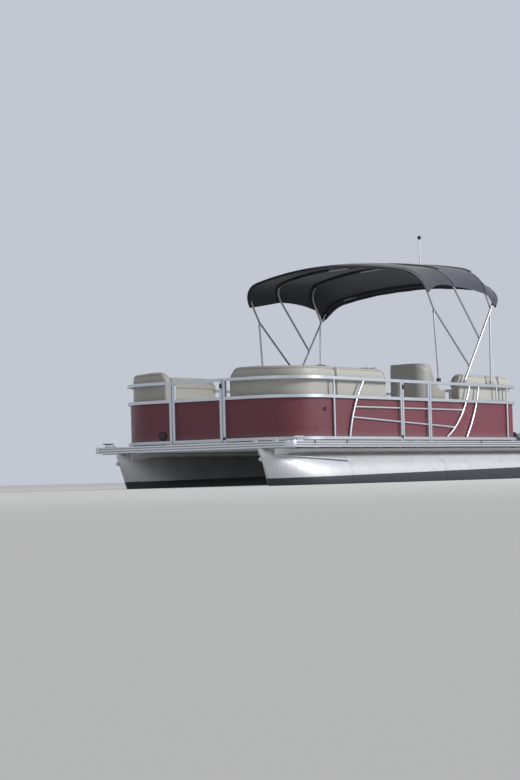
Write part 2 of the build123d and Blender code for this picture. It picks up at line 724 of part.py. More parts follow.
SEAT_TOP_UP = COUCH_BASE_HEIGHT + COUCH_SEAT_T
with BuildPart() as couch_bases:
    add(couch_layer(TOE_RING, BOW_COUCHES + AFT_COUCH, 0, TOE_HEIGHT).part)
    add(couch_layer(COUCH_RING, BOW_COUCHES + AFT_COUCH, TOE_HEIGHT, COUCH_BASE_HEIGHT).part)
bow_couch_seats = couch_layer(SEAT_RING, BOW_COUCHES, COUCH_BASE_HEIGHT + SOFT_GAP, SEAT_TOP_UP, 30)
bow_couch_backs = couch_layer(BACK_RING, BOW_COUCHES, COUCH_BASE_HEIGHT + SOFT_GAP, COUCH_BACK_UP, 45)
aft_couch_seat = couch_layer(SEAT_RING, AFT_COUCH, COUCH_BASE_HEIGHT + SOFT_GAP, SEAT_TOP_UP, 30)
aft_couch_back = couch_layer(BACK_RING, AFT_COUCH, COUCH_BASE_HEIGHT + SOFT_GAP, COUCH_BACK_UP, 45)

# The console's sloping dash, and the steering wheel's axis square to it
CONSOLE_AFT = CONSOLE_FRONT + CONSOLE_DEPTH
with BuildPart() as helm_console:
    console_mid = -(CONSOLE_INNER + CONSOLE_OUTER) / 2
    console_width = CONSOLE_OUTER - CONSOLE_INNER
    with BuildSketch(side_plane(console_mid)):
        with BuildLine():
            outline = [
                at(CONSOLE_FRONT, 0, 0),
                at(CONSOLE_FRONT + 40, 0, CONSOLE_UP),
                at(CONSOLE_FRONT + 230, 0, CONSOLE_UP - 15),
                at(CONSOLE_AFT - 10, 0, DASH_UP),
                at(CONSOLE_AFT - 40, 0, DASH_UP - DASH_SLOPE),
                at(CONSOLE_AFT - 60, 0, 0),
            ]
            Polyline(*[(x, z) for x, y, z in outline], close=True)
        make_face()
    extrude(amount=console_width / 2, both=True)
    fillet(helm_console.edges().filter_by(Axis.Y).group_by(Axis.Z)[-1], 12)

wheel_up = (CONSOLE_UP - 15 + DASH_UP) / 2
wheel_station = (CONSOLE_FRONT + 230 + CONSOLE_AFT - 10) / 2
dash_run = CONSOLE_DEPTH - 240
dash_angle = atan2(CONSOLE_UP - 15 - DASH_UP, dash_run)
wheel_axis = Vector(-sin(dash_angle), 0, cos(dash_angle))
WHEEL_BASE = Vector(*at(wheel_station, WHEEL_Y, wheel_up)) + wheel_axis * 0.3
WHEEL_CENTRE = WHEEL_BASE + wheel_axis * WHEEL_REACH
with BuildPart() as steering_wheel:
    with BuildSketch(Plane(origin=WHEEL_BASE, x_dir=(0, 1, 0), z_dir=wheel_axis)):
        Circle(28)
    extrude(amount=WHEEL_REACH + 12, taper=4)
    rim_plane = Plane(origin=WHEEL_CENTRE, x_dir=(0, 1, 0), z_dir=wheel_axis)
    with Locations(rim_plane):
        Torus(WHEEL_R, WHEEL_TUBE)
    with BuildSketch(rim_plane.offset(-5)):
        with PolarLocations(WHEEL_R / 2, 3, start_angle=90):
            Rectangle(WHEEL_R, 34)
    extrude(amount=10)

CHAIRS = (HELM_CHAIR, GUEST_CHAIR)
with BuildPart() as chair_pedestals:
    for station, side, heading in CHAIRS:
        with BuildSketch(Plane(origin=at(station, side))):
            Circle(PEDESTAL_FOOT_R)
        extrude(amount=14)
        with BuildSketch(Plane(origin=at(station, side))):
            Circle(PEDESTAL_R)
        extrude(amount=CHAIR_SEAT_UP - CHAIR_SHELL_T - HINGE_FACE)
        with BuildSketch(Plane(origin=at(station, side))):
            Circle(SPINDLE_R)
        extrude(amount=CHAIR_SEAT_UP - 6)


def chair_plane(chair, up, shift=0):
    """A level plane at a chair, with its X towards the chair's front."""
    station, side, heading = chair
    ahead = Vector(cos(radians(heading)), sin(radians(heading)), 0)
    return Plane(origin=Vector(*at(station, side, up)) + ahead * shift, x_dir=ahead, z_dir=(0, 0, 1))


def chair_outline(inset, mouth=0):
    """The chair's plan, moved inwards and left open towards the front by mouth."""
    with BuildSketch() as outline:
        with Locations((mouth / 2, 0)):
            Rectangle(CHAIR_DEPTH - 2 * inset + mouth, CHAIR_WIDTH - 2 * inset)
        corner_r = CHAIR_CORNER_R - inset
        fillet(outline.vertices().sort_by(Axis.X)[:2], corner_r)
        if not mouth:
            fillet(outline.vertices().sort_by(Axis.X)[-2:], min(corner_r, CHAIR_MOUTH_R))
    return outline.sketch


def chair_sweep(chair):
    """What the arms' sloping top leaves of the shell, seen from the side."""
    station, side, heading = chair
    with BuildPart() as kept:
        ahead_x = cos(radians(heading))
        view = Plane(
            origin=at(station, side, 0), x_dir=(ahead_x, 0, 0), z_dir=(0, -ahead_x, 0)
        )
        rear = -CHAIR_DEPTH
        with BuildSketch(view):
            with BuildLine():
                Line((rear, 0), (rear, CHAIR_BACK_UP))
                Line((rear, CHAIR_BACK_UP), (-CHAIR_DEPTH / 4, CHAIR_BACK_UP))
                Spline(
                    (-CHAIR_DEPTH / 4, CHAIR_BACK_UP), (0, CHAIR_ARM_UP + 90),
                    (CHAIR_DEPTH / 3, CHAIR_ARM_UP),
                    tangents=[(1, -0.2), (1, -0.15)],
                )
                Line((CHAIR_DEPTH / 3, CHAIR_ARM_UP), (CHAIR_DEPTH, CHAIR_ARM_UP - 10))
                Line((CHAIR_DEPTH, CHAIR_ARM_UP - 10), (CHAIR_DEPTH, 0))
                Line((CHAIR_DEPTH, 0), (rear, 0))
            make_face()
        extrude(amount=CHAIR_WIDTH, both=True)
    return kept


def chair_shell(chair):
    """The moulded barrel shell: a seat pan and a wall that wraps the back and arms."""
    with BuildPart() as shell:
        with BuildSketch(chair_plane(chair, CHAIR_SEAT_UP - CHAIR_SHELL_T)):
            add(chair_outline(0))
        extrude(amount=CHAIR_BACK_UP - CHAIR_SEAT_UP + CHAIR_SHELL_T)
        with BuildSketch(chair_plane(chair, CHAIR_SEAT_UP)):
            add(chair_outline(CHAIR_SHELL_T, CHAIR_DEPTH))
        extrude(amount=CHAIR_BACK_UP, mode=Mode.SUBTRACT)
        add(chair_sweep(chair).part, mode=Mode.INTERSECT)
        with BuildSketch(chair_plane(chair, CHAIR_SEAT_UP - CHAIR_SHELL_T)):
            Circle(SPINDLE_R + SPINDLE_PLAY)
        extrude(amount=CHAIR_SHELL_T - 4, mode=Mode.SUBTRACT)
    return shell


def chair_cushion(chair):
    """The seat pad and the padding that lines the back and arms."""
    inset = CHAIR_SHELL_T + SOFT_GAP
    with BuildPart() as pads:
        with BuildSketch(chair_plane(chair, CHAIR_SEAT_UP + SOFT_GAP)):
            add(chair_outline(inset))
        extrude(amount=CHAIR_BACK_UP - CHAIR_SEAT_UP + 15)
        with BuildSketch(chair_plane(chair, CHAIR_SEAT_UP + CHAIR_SEAT_T, CHAIR_BACK_T - CHAIR_ARM_T)):
            add(chair_outline(inset + CHAIR_ARM_T, CHAIR_DEPTH))
        extrude(amount=CHAIR_BACK_UP, mode=Mode.SUBTRACT)
        with Locations((0, 0, 12)):
            add(chair_sweep(chair).part, mode=Mode.INTERSECT)
    return pads


helm_chair_shell = chair_shell(HELM_CHAIR)
helm_chair_cushion = chair_cushion(HELM_CHAIR)
guest_chair_shell = chair_shell(GUEST_CHAIR)
guest_chair_cushion = chair_cushion(GUEST_CHAIR)

POD_TOP_Z = DECK_TOP - POD_TOP_DROP
TRANSOM_TOP_Z = DECK_TOP - TRANSOM_TOP_DROP
with BuildPart() as motor_pod:
    with BuildSketch(side_plane(0)):
        with BuildLine():
            Polyline(
                (BOW_X - POD_FRONT, CHANNEL_Z),
                (BOW_X - POD_FRONT - 60, POD_TOP_Z),
                (BOW_X - DECK_LENGTH + WELL_LENGTH + 150, POD_BOTTOM_Z),
                (BOW_X - TRANSOM_AFT, POD_BOTTOM_Z),
                (BOW_X - TRANSOM_AFT, TRANSOM_TOP_Z),
                (BOW_X - TRANSOM_AFT + TRANSOM_T, TRANSOM_TOP_Z),
                (BOW_X - TRANSOM_AFT + TRANSOM_T, POD_TOP_Z),
                (BOW_X - DECK_LENGTH + WELL_LENGTH + 40, POD_TOP_Z),
                (BOW_X - DECK_LENGTH + WELL_LENGTH + 40, CHANNEL_Z),
                close=True,
            )
        make_face()
    extrude(amount=POD_HALF_WIDTH, both=True)

# Directions of the outboard as it rests, tilted up
TILT = radians(TILT_REST)
AFTWARD = Vector(-cos(TILT), 0, sin(TILT))
UPWARD = Vector(sin(TILT), 0, cos(TILT))
TILT_POINT = Vector(BOW_X - TILT_STATION, 0, TILT_Z)


def motor_side(side=0):
    """The outboard's upright plane, drawn in (aft, up) from the tilt tube."""
    return Plane(origin=TILT_POINT + Vector(0, side, 0), x_dir=AFTWARD, z_dir=(0, 1, 0))


def motor_cut(aft, up):
    """A plane across the outboard, with its X aft."""
    return Plane(origin=TILT_POINT + AFTWARD * aft + UPWARD * up, x_dir=AFTWARD, z_dir=UPWARD)


CLAMP_HALF = 105
CLAMP_T = 22
with BuildPart() as outboard_clamp:
    clamp_x = BOW_X - TRANSOM_AFT
    for side in (-1, 1):
        with BuildSketch(side_plane(side * CLAMP_HALF)):
            with BuildLine():
                Polyline(
                    (clamp_x - 0.3, TRANSOM_TOP_Z - 330),
                    (clamp_x - 40, TRANSOM_TOP_Z - 330),
                    (clamp_x - 62, TRANSOM_TOP_Z - 40),
                    (clamp_x - 40, TILT_Z + 34),
                    (clamp_x + TRANSOM_T + 30, TILT_Z + 34),
                    (clamp_x + TRANSOM_T + 30, TRANSOM_TOP_Z - 90),
                    (clamp_x + TRANSOM_T + 0.3, TRANSOM_TOP_Z - 90),
                    (clamp_x + TRANSOM_T + 0.3, TRANSOM_TOP_Z + 0.3),
                    (clamp_x - 0.3, TRANSOM_TOP_Z + 0.3),
                    close=True,
                )
            make_face()
        extrude(amount=CLAMP_T / 2, both=True)
    tube_half = CLAMP_HALF + CLAMP_T
    with BuildSketch(side_plane(tube_half)):
        with Locations((TILT_POINT.X, TILT_POINT.Z)):
            Circle(TILT_TUBE_R)
    extrude(amount=2 * tube_half)

SWIVEL_HALF = CLAMP_HALF - CLAMP_T / 2 - 3
with BuildPart() as outboard_swivel:
    with BuildSketch(motor_side(-SWIVEL_HALF)):
        with BuildLine():
            Polyline(
                (0, -30), (0, 30), (STEER_AXIS_AFT - 40, 20),
                (STEER_AXIS_AFT - 40, -60), (60, -60), close=True,
            )
        make_face()
        Circle(33)
        Circle(TILT_TUBE_R + HINGE_PLAY, mode=Mode.SUBTRACT)
    extrude(amount=2 * SWIVEL_HALF)
    with BuildSketch(motor_side(-40)):
        with BuildLine():
            Polyline(
                (70, 20), (STEER_AXIS_AFT, 20), (STEER_AXIS_AFT, -420),
                (STEER_AXIS_AFT - 46, -420), (70, -40), close=True,
            )
        make_face()
    extrude(amount=80)
    with BuildSketch(motor_cut(STEER_AXIS_AFT, -420)):
        Circle(40)
    extrude(amount=440)
    with BuildSketch(motor_cut(STEER_AXIS_AFT, -420)):
        Circle(24)
    extrude(amount=440, mode=Mode.SUBTRACT)

with BuildPart() as outboard_leg:
    with BuildSketch(motor_cut(STEER_AXIS_AFT, -460)):
        Circle(24 - HINGE_PLAY)
    extrude(amount=536)
    # Section table of the leg: up, aft of its middle, depth, width
    for low, high in (((-440, 300, 250, 110), (-PLATE_DOWN, 300, 290, 70)),
                      ((-PLATE_DOWN, 300, 290, 70), (-PROP_AXIS_DOWN, 290, 230, 46))):
        for up, aft, depth, width in (low, high):
            with BuildSketch(motor_cut(aft, up)):
                Ellipse(depth / 2, width / 2)
        loft()
    with BuildSketch(motor_cut(STEER_AXIS_AFT + 155, -440)):
        RectangleRounded(210, 120, 50)
    extrude(amount=500)
    for up, aft, depth, width, height in (
        (42, STEER_AXIS_AFT + 60, 380, 220, 34),
        (-470, STEER_AXIS_AFT + 60, 240, 120, 44),
    ):
        with BuildSketch(motor_cut(aft, up)):
            RectangleRounded(depth, width, 50)
        extrude(amount=height)
    with BuildSketch(motor_cut(340, -PLATE_DOWN - 6)):
        RectangleRounded(430, 210, 60)
    extrude(amount=12)
    with BuildSketch(motor_side()):
        with BuildLine():
            Polyline(
                (110, -PROP_AXIS_DOWN), (150, -PROP_AXIS_DOWN + 40), (230, -PROP_AXIS_DOWN + 62),
                (PROP_AFT - 30, -PROP_AXIS_DOWN + 48), (PROP_AFT - 6, -PROP_AXIS_DOWN + 40),
                (PROP_AFT - 6, -PROP_AXIS_DOWN), close=True,
            )
        make_face()
    revolve(axis=Axis(TILT_POINT - UPWARD * PROP_AXIS_DOWN, AFTWARD))
    with BuildSketch(motor_side(-8)):
        with BuildLine():
            Polyline(
                (200, -PROP_AXIS_DOWN), (280, -SKEG_DOWN + 20), (SKEG_AFT, -SKEG_DOWN),
                (SKEG_AFT - 20, -PROP_AXIS_DOWN - 100), (430, -PROP_AXIS_DOWN), close=True,
            )
        make_face()
    extrude(amount=16)
    with BuildSketch(Plane(origin=TILT_POINT + AFTWARD * (PROP_AFT - 40) - UPWARD * PROP_AXIS_DOWN,
                           x_dir=(0, 1, 0), z_dir=AFTWARD)):
        Circle(14)
    extrude(amount=150)

with BuildPart() as outboard_cowl:
    # Section table of the cowl: up, aft of its middle, depth, half width
    for up, aft, depth, half in ((76.3, 215, 620, 170), (330, 220, 670, 195), (620, 230, 560, 165),
                                 (680, 235, 400, 110)):
        with BuildSketch(motor_cut(aft, up)):
            RectangleRounded(depth, 2 * half, 90)
    loft()

PROP_POINT = TILT_POINT + AFTWARD * PROP_AFT - UPWARD * PROP_AXIS_DOWN
with BuildPart() as propeller:
    with BuildSketch(Plane(origin=PROP_POINT, x_dir=(0, 1, 0), z_dir=AFTWARD)):
        Circle(42)
    extrude(amount=PROP_HUB_LENGTH)
    for index in range(PROP_BLADES):
        turn = radians(30 + index * 360 / PROP_BLADES)
        outward = Vector(0, cos(turn), 0) + UPWARD * sin(turn)
        around = Vector(0, -sin(turn), 0) + UPWARD * cos(turn)
        chord = AFTWARD * cos(radians(PROP_PITCH)) + around * sin(radians(PROP_PITCH))
        blade_root = PROP_POINT + AFTWARD * (PROP_HUB_LENGTH / 2)
        with BuildSketch(Plane(origin=blade_root, x_dir=chord, z_dir=outward)):
            Ellipse(PROP_CHORD / 2, 5)
        extrude(amount=PROP_R)
    with BuildSketch(Plane(origin=PROP_POINT - AFTWARD, x_dir=(0, 1, 0), z_dir=AFTWARD)):
        Circle(14 + HINGE_PLAY)
    extrude(amount=100, mode=Mode.SUBTRACT)

LADDER_STATION = DECK_LENGTH + LADDER_OFFSET
with BuildPart() as swim_ladder:
    for side in (-LADDER_HALF_WIDTH, LADDER_HALF_WIDTH):
        add_tube(
            (
                at(LADDER_STATION, LADDER_Y + side, LADDER_UP),
                at(LADDER_STATION - LADDER_LENGTH, LADDER_Y + side, LADDER_UP),
            ),
            LADDER_TUBE,
        )
    for index in range(LADDER_RUNGS):
        station = LADDER_STATION - LADDER_LENGTH + 60 + index * (LADDER_LENGTH - 150) / (LADDER_RUNGS - 1)
        with Locations(at(station, LADDER_Y, LADDER_UP)):
            Box(50, 2 * LADDER_HALF_WIDTH, 16)
    with BuildSketch(side_plane(LADDER_Y + LADDER_HALF_WIDTH + 12)):
        with Locations((BOW_X - LADDER_STATION, DECK_TOP + LADDER_UP)):
            Circle(16)
            Circle(6 + HINGE_PLAY, mode=Mode.SUBTRACT)
    extrude(amount=2 * LADDER_HALF_WIDTH + 24)
    with BuildSketch(side_plane(LADDER_Y + LADDER_HALF_WIDTH + 14)):
        with Locations((BOW_X - LADDER_STATION, DECK_TOP + LADDER_UP)):
            Circle(6 + HINGE_PLAY)
    extrude(amount=2 * LADDER_HALF_WIDTH + 28, mode=Mode.SUBTRACT)

with BuildPart() as ladder_bracket:
    for side in (-1, 1):
        ear_y = LADDER_Y + side * (LADDER_HALF_WIDTH + 22)
        with BuildSketch(side_plane(ear_y)):
            with BuildLine():
                Polyline(
                    (BOW_X - DECK_LENGTH + 120, DECK_TOP),
                    (BOW_X - DECK_LENGTH + 120, DECK_TOP + 6),
                    (BOW_X - LADDER_STATION, DECK_TOP + LADDER_UP + 14),
                    (BOW_X - LADDER_STATION - 14, DECK_TOP + LADDER_UP),
                    (BOW_X - LADDER_STATION - 4, DECK_TOP + 6),
                    (BOW_X - DECK_LENGTH, DECK_TOP),
                    close=True,
                )
            make_face()
        extrude(amount=4, both=True)
    with BuildSketch(side_plane(LADDER_Y + LADDER_HALF_WIDTH + 26)):
        with Locations((BOW_X - LADDER_STATION, DECK_TOP + LADDER_UP)):
            Circle(6)
    extrude(amount=2 * LADDER_HALF_WIDTH + 52)

with BuildPart() as cleats:
    for station in (200, DECK_LENGTH - 160):
        for side in (-1, 1):
            y = side * (DECK_HALF_WIDTH - 25)
            with Locations(at(station, y, 4)):
                Box(110, 40, 8)
            with Locations(at(station - 25, y, 20), at(station + 25, y, 20)):
                Cylinder(9, 32)
            with Locations(at(station, y, 40)):
                Cylinder(8, 170, rotation=(0, 90, 0))

# Folding top. Each bow lies in a plane through its legs and the boat's Y direction.
EYE_T = 10
EYE_R = 13
EYE_PIN_R = 4
EAR_T = 5
EAR_GAP = 0.5
EYE_REACH = 60


def ahead(start, end, along, off=0):
    """(station, up) at a distance from start towards end, moved forward off that line."""
    run = hypot(end[0] - start[0], end[1] - start[1])
    run_station = (end[0] - start[0]) / run
    run_up = (end[1] - start[1]) / run
    lean = 1 if run_up > 0 else -1
    shift = (-lean * run_up * off, lean * run_station * off)
    return (start[0] + run_station * along + shift[0], start[1] + run_up * along + shift[1])


def length(start, end):
    """The distance between two (station, up) points."""
    return hypot(end[0] - start[0], end[1] - start[1])


FRONT_HINGE = ahead(MAIN_FOOT, MAIN_SHOULDER, FRONT_HINGE_ALONG, HINGE_OFFSET)
MID_HINGE = ahead(MAIN_FOOT, MAIN_SHOULDER, MID_HINGE_ALONG, HINGE_OFFSET)
REAR_BRACE_TOP = ahead(MAIN_FOOT, MAIN_SHOULDER, REAR_BRACE_ALONG)
AFT_HINGE = ahead(MAIN_FOOT, MAIN_SHOULDER, AFT_HINGE_ALONG, HINGE_OFFSET)
KNEE_HINGE = ahead(FRONT_KNEE, FRONT_HINGE, 30, HINGE_OFFSET)


def hoop(legs):
    """The points of one bow, up its port leg, over and down its starboard leg."""
    top = ahead(legs[-2], legs[-1], length(legs[-2], legs[-1]) + CROWN_RISE)
    up_leg = [at(station, BOW_HALF_WIDTH, up) for station, up in legs]
    down_leg = [at(station, -BOW_HALF_WIDTH, up) for station, up in reversed(legs)]
    return up_leg + [at(top[0], 0, top[1])] + down_leg


def hoop_radii(legs):
    """The bend at each corner of a bow."""
    knees = [KNEE_R] * (len(legs) - 2)
    return knees + [SHOULDER_R, CROWN_R, SHOULDER_R] + knees


def round_eye(point):
    """A round spot in the side planes at a (station, up) point."""
    return (BOW_X - point[0], DECK_TOP + point[1])


def add_link(start, end, reach, radius, thick, y):
    """A flat bar with a round end at start, laid towards end in the plane at y."""
    tip = ahead(start, end, reach)
    across = ((tip[1] - start[1]) / reach * radius, (tip[0] - start[0]) / reach * radius)
    x0, z0 = round_eye(start)
    x1, z1 = round_eye(tip)
    with BuildSketch(side_plane(y)) as bar:
        with BuildLine():
            Polyline(
                (x0 + across[0], z0 + across[1]), (x1 + across[0], z1 + across[1]),
                (x1 - across[0], z1 - across[1]), (x0 - across[0], z0 - across[1]),
                close=True,
            )
        make_face()
        with Locations((x0, z0)):
            Circle(radius)
    extrude(bar.sketch, amount=thick / 2, both=True)


def add_eyes(point, toward):
    """The flat eyes at a bow's two feet, each with its bore."""
    for side in (-1, 1):
        add_link(point, toward, EYE_REACH, EYE_R - 2, EYE_T, side * BOW_HALF_WIDTH)
    with BuildSketch(side_plane(BOW_HALF_WIDTH + EYE_T)) as bore:
        with Locations(round_eye(point)):
            Circle(EYE_PIN_R + HINGE_PLAY)
    extrude(bore.sketch, amount=2 * (BOW_HALF_WIDTH + EYE_T), mode=Mode.SUBTRACT)


def add_ears(point, base):
    """Two ears each side of an eye, with the pin through them, towards a base point."""
    for side in (-1, 1):
        for inner in (-1, 1):
            y = side * BOW_HALF_WIDTH + inner * (EYE_T / 2 + EAR_GAP + EAR_T / 2)
            add_link(point, base, length(point, base), EYE_R - 2, EAR_T, y)
        with BuildSketch(side_plane(side * BOW_HALF_WIDTH)) as pin:
            with Locations(round_eye(point)):
                Circle(EYE_PIN_R)
        extrude(pin.sketch, amount=EYE_T / 2 + EAR_GAP + EAR_T, both=True)


def add_legs(start, end, diameter):
    """A straight tube on each side between two (station, up) points."""
    for side in (-1, 1):
        y = side * BOW_HALF_WIDTH
        add_tube((at(start[0], y, start[1]), at(end[0], y, end[1])), diameter)


def add_feet(stations):
    """The blocks that hold the top's feet on the fence's rail."""
    foot_top = MAIN_FOOT[1] + 8
    for side in (-1, 1):
        for station in stations:
            middle = (FOOT_UP + foot_top) / 2
            with Locations(at(station, side * BOW_HALF_WIDTH, middle)):
                Box(FOOT_LENGTH, FOOT_WIDTH, foot_top - FOOT_UP)


MAIN_LEGS = [MAIN_FOOT, MAIN_SHOULDER]
MID_LEGS = [ahead(MID_HINGE, MID_SHOULDER, EYE_R + 6), MID_SHOULDER]
AFT_LEGS = [ahead(AFT_HINGE, AFT_SHOULDER, EYE_R + 6), AFT_SHOULDER]
FRONT_LEGS = [ahead(FRONT_HINGE, FRONT_KNEE, EYE_R + 6), FRONT_KNEE, FRONT_SHOULDER]
FOOT_UP = RAIL_TOP_UP + RAIL / 2

with BuildPart() as main_bow:
    add_tube(hoop(MAIN_LEGS), BOW_TUBE, hoop_radii(MAIN_LEGS))
    add_legs(REAR_BRACE_FOOT, REAR_BRACE_TOP, BRACE_TUBE)
    add_feet((MAIN_FOOT[0], REAR_BRACE_FOOT[0]))
    add_ears(FRONT_HINGE, ahead(MAIN_FOOT, MAIN_SHOULDER, FRONT_HINGE_ALONG))
    add_ears(MID_HINGE, ahead(MAIN_FOOT, MAIN_SHOULDER, MID_HINGE_ALONG))
    add_ears(AFT_HINGE, ahead(MAIN_FOOT, MAIN_SHOULDER, AFT_HINGE_ALONG))

with BuildPart() as mid_bow:
    add_tube(hoop(MID_LEGS), BOW_TUBE, hoop_radii(MID_LEGS))
    add_eyes(MID_HINGE, MID_SHOULDER)

with BuildPart() as aft_bow:
    add_tube(hoop(AFT_LEGS), BOW_TUBE, hoop_radii(AFT_LEGS))
    add_eyes(AFT_HINGE, AFT_SHOULDER)

with BuildPart() as front_bow:
    add_tube(hoop(FRONT_LEGS), BOW_TUBE, hoop_radii(FRONT_LEGS))
    add_eyes(FRONT_HINGE, FRONT_KNEE)
    add_ears(KNEE_HINGE, ahead(FRONT_KNEE, FRONT_HINGE, 30))

with BuildPart() as front_braces:
    add_legs(ahead(KNEE_HINGE, FRONT_BRACE_FOOT, EYE_R + 6), FRONT_BRACE_FOOT, BRACE_TUBE)
    add_eyes(KNEE_HINGE, FRONT_BRACE_FOOT)

with BuildPart() as brace_feet:
    for side in (-1, 1):
        for inner in (-1, 1):
            y = side * BOW_HALF_WIDTH + inner * (BRACE_TUBE / 2 + EAR_GAP + EAR_T / 2)
            with Locations(at(FRONT_BRACE_FOOT[0], y, FOOT_UP + 20)):
                Box(FOOT_LENGTH, EAR_T, 40)
        with Locations(at(FRONT_BRACE_FOOT[0], side * BOW_HALF_WIDTH, FOOT_UP + 4)):
            Box(FOOT_LENGTH, BRACE_TUBE + 2 * EAR_GAP, 8)


def arch_points(legs, off, hem, shift):
    """A bow's outline moved outwards in its own plane, from hem to hem."""
    slope = CROWN_RISE / BOW_HALF_WIDTH
    half = BOW_HALF_WIDTH + off
    top_rise = CROWN_RISE + off * hypot(1, slope)
    side_rise = top_rise - half * slope
    shoulder = legs[-1]
    lean_station = (legs[-1][0] - legs[-2][0]) / length(legs[-2], legs[-1])
    lean_up = (legs[-1][1] - legs[-2][1]) / length(legs[-2], legs[-1])
    points = []
    for side, along in ((half, -hem), (half, side_rise), (0, top_rise),
                        (-half, side_rise), (-half, -hem)):
        station = shoulder[0] + lean_station * along + shift[0]
        up = shoulder[1] + lean_up * along + shift[1]
        points.append(at(station, side, up))
    return points


def arch(legs, off, hem, shift=(0, 0)):
    """A closed band around one bow's top, just outside its tube."""
    inner = arch_points(legs, off, hem, shift)
    outer = arch_points(legs, off + CANOPY_T, hem, shift)
    with BuildLine() as band:
        for points, extra in ((inner, 0), (outer, CANOPY_T)):
            bends = [SHOULDER_R + off + extra, CROWN_R + off + extra, SHOULDER_R + off + extra]
            FilletPolyline(*points, radius=bends)
        Line(inner[0], outer[0])
        Line(inner[-1], outer[-1])
    return make_face(band.edges())


# The canopy's sections: the bow's legs, its room over the tube, the hem below the shoulder
# and how far the section lies behind and above the bow
CANOPY_FACES = [
    arch(legs, off, hem, shift)
    for legs, off, hem, shift in (
        (FRONT_LEGS, 15.2, 250, CANOPY_FRONT_HEM),
        (FRONT_LEGS, 15.2, 250, (0, 0)),
        (MID_LEGS, 22, 250, (0, 0)),
        (AFT_LEGS, 22, 310, (0, 0)),
        (MAIN_LEGS, 16.5, 260, (0, 0)),
        (MAIN_LEGS, 16.5, 260, CANOPY_REAR_HEM),
    )
]
# The light's pole stands on the rear bow, in an eyelet through the cloth
crown_slope = CROWN_RISE / BOW_HALF_WIDTH
crown_sag = CROWN_R * (hypot(1, crown_slope) - 1)
pole_foot = ahead(MAIN_FOOT, MAIN_SHOULDER, length(*MAIN_LEGS) + CROWN_RISE - crown_sag)
pole_up = pole_foot[1] + BOW_TUBE / 2 - 1
with BuildPart() as canopy:
    loft(CANOPY_FACES, ruled=True)
    with BuildSketch(Plane(origin=at(pole_foot[0], LIGHT_POLE_Y, pole_up))):
        Circle(LIGHT_POLE_R + 3)
    extrude(amount=60, mode=Mode.SUBTRACT)

with BuildPart() as light_pole:
    with BuildSketch(Plane(origin=at(pole_foot[0], LIGHT_POLE_Y, pole_up))):
        Circle(LIGHT_POLE_R)
    extrude(amount=LIGHT_POLE_UP - pole_up)
    with Locations(at(pole_foot[0], LIGHT_POLE_Y, LIGHT_POLE_UP)):
        Sphere(24)

PIECES = {
    "pontoon_port": pontoon_port,
    "pontoon_starboard": pontoon_starboard,
    "cross_channels": cross_channels,
    "deck": deck,
    "rub_rail": rub_rail,
    "fence_port_bow": fence_port_bow,
    "fence_port_aft": fence_port_aft,
    "fence_starboard_bow": fence_starboard_bow,
    "fence_starboard_aft": fence_starboard_aft,
    "fence_skins": fence_skins,
    "bow_gate": bow_gate,
    "side_gate": side_gate,
    "stern_gate": stern_gate,
    "bow_gate_skin": bow_gate_skin,
    "side_gate_skin": side_gate_skin,
    "stern_gate_skin": stern_gate_skin,
    "couch_bases": couch_bases,
    "bow_couch_seats": bow_couch_seats,
    "bow_couch_backs": bow_couch_backs,
    "aft_couch_seat": aft_couch_seat,
    "aft_couch_back": aft_couch_back,
    "helm_console": helm_console,
    "steering_wheel": steering_wheel,
    "chair_pedestals": chair_pedestals,
    "helm_chair_shell": helm_chair_shell,
    "helm_chair_cushion": helm_chair_cushion,
    "guest_chair_shell": guest_chair_shell,
    "guest_chair_cushion": guest_chair_cushion,
    "motor_pod": motor_pod,
    "outboard_clamp": outboard_clamp,
    "outboard_swivel": outboard_swivel,
    "outboard_leg": outboard_leg,
    "outboard_cowl": outboard_cowl,
    "propeller": propeller,
    "swim_ladder": swim_ladder,
    "ladder_bracket": ladder_bracket,
    "cleats": cleats,
    "main_bow": main_bow,
    "mid_bow": mid_bow,
    "aft_bow": aft_bow,
    "front_bow": front_bow,
    "front_braces": front_braces,
    "brace_feet": brace_feet,
    "canopy": canopy,
    "light_pole": light_pole,
}

os.makedirs("parts", exist_ok=True)
for name, piece in PIECES.items():
    piece.part.label = name
    export_step(piece.part, f"parts/{name}.step")
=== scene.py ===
"""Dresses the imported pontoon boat: materials, soft goods, trim, light and camera.

Every length is in metres. A station is a distance aft of the rub rail's front face, side is a
distance to port, and up is a height above the deck's top face.
"""
import json
from math import ceil, cos, hypot, pi, radians, sin, tan

import bmesh
import bpy
from mathutils import Matrix, Vector


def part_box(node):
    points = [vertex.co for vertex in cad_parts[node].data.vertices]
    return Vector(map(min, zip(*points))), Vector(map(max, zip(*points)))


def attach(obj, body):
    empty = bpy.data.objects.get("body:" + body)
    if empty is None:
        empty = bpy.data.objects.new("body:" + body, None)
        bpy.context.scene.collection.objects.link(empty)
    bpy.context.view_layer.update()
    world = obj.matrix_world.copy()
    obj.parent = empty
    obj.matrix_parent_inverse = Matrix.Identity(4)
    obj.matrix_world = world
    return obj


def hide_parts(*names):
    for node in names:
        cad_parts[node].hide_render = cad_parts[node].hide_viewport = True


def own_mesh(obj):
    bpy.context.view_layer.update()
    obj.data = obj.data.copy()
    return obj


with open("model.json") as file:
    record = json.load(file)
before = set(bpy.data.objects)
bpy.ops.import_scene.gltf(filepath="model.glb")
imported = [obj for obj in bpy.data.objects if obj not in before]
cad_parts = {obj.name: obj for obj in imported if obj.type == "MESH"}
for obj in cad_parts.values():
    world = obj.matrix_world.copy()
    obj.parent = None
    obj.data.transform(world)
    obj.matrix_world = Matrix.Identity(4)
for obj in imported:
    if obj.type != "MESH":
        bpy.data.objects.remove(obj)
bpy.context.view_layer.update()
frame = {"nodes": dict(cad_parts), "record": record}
NODES = frame["nodes"]

BOW_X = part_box("rub_rail")[1][0]
DECK_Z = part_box("deck")[1][2]
WATERLINE = 0.3


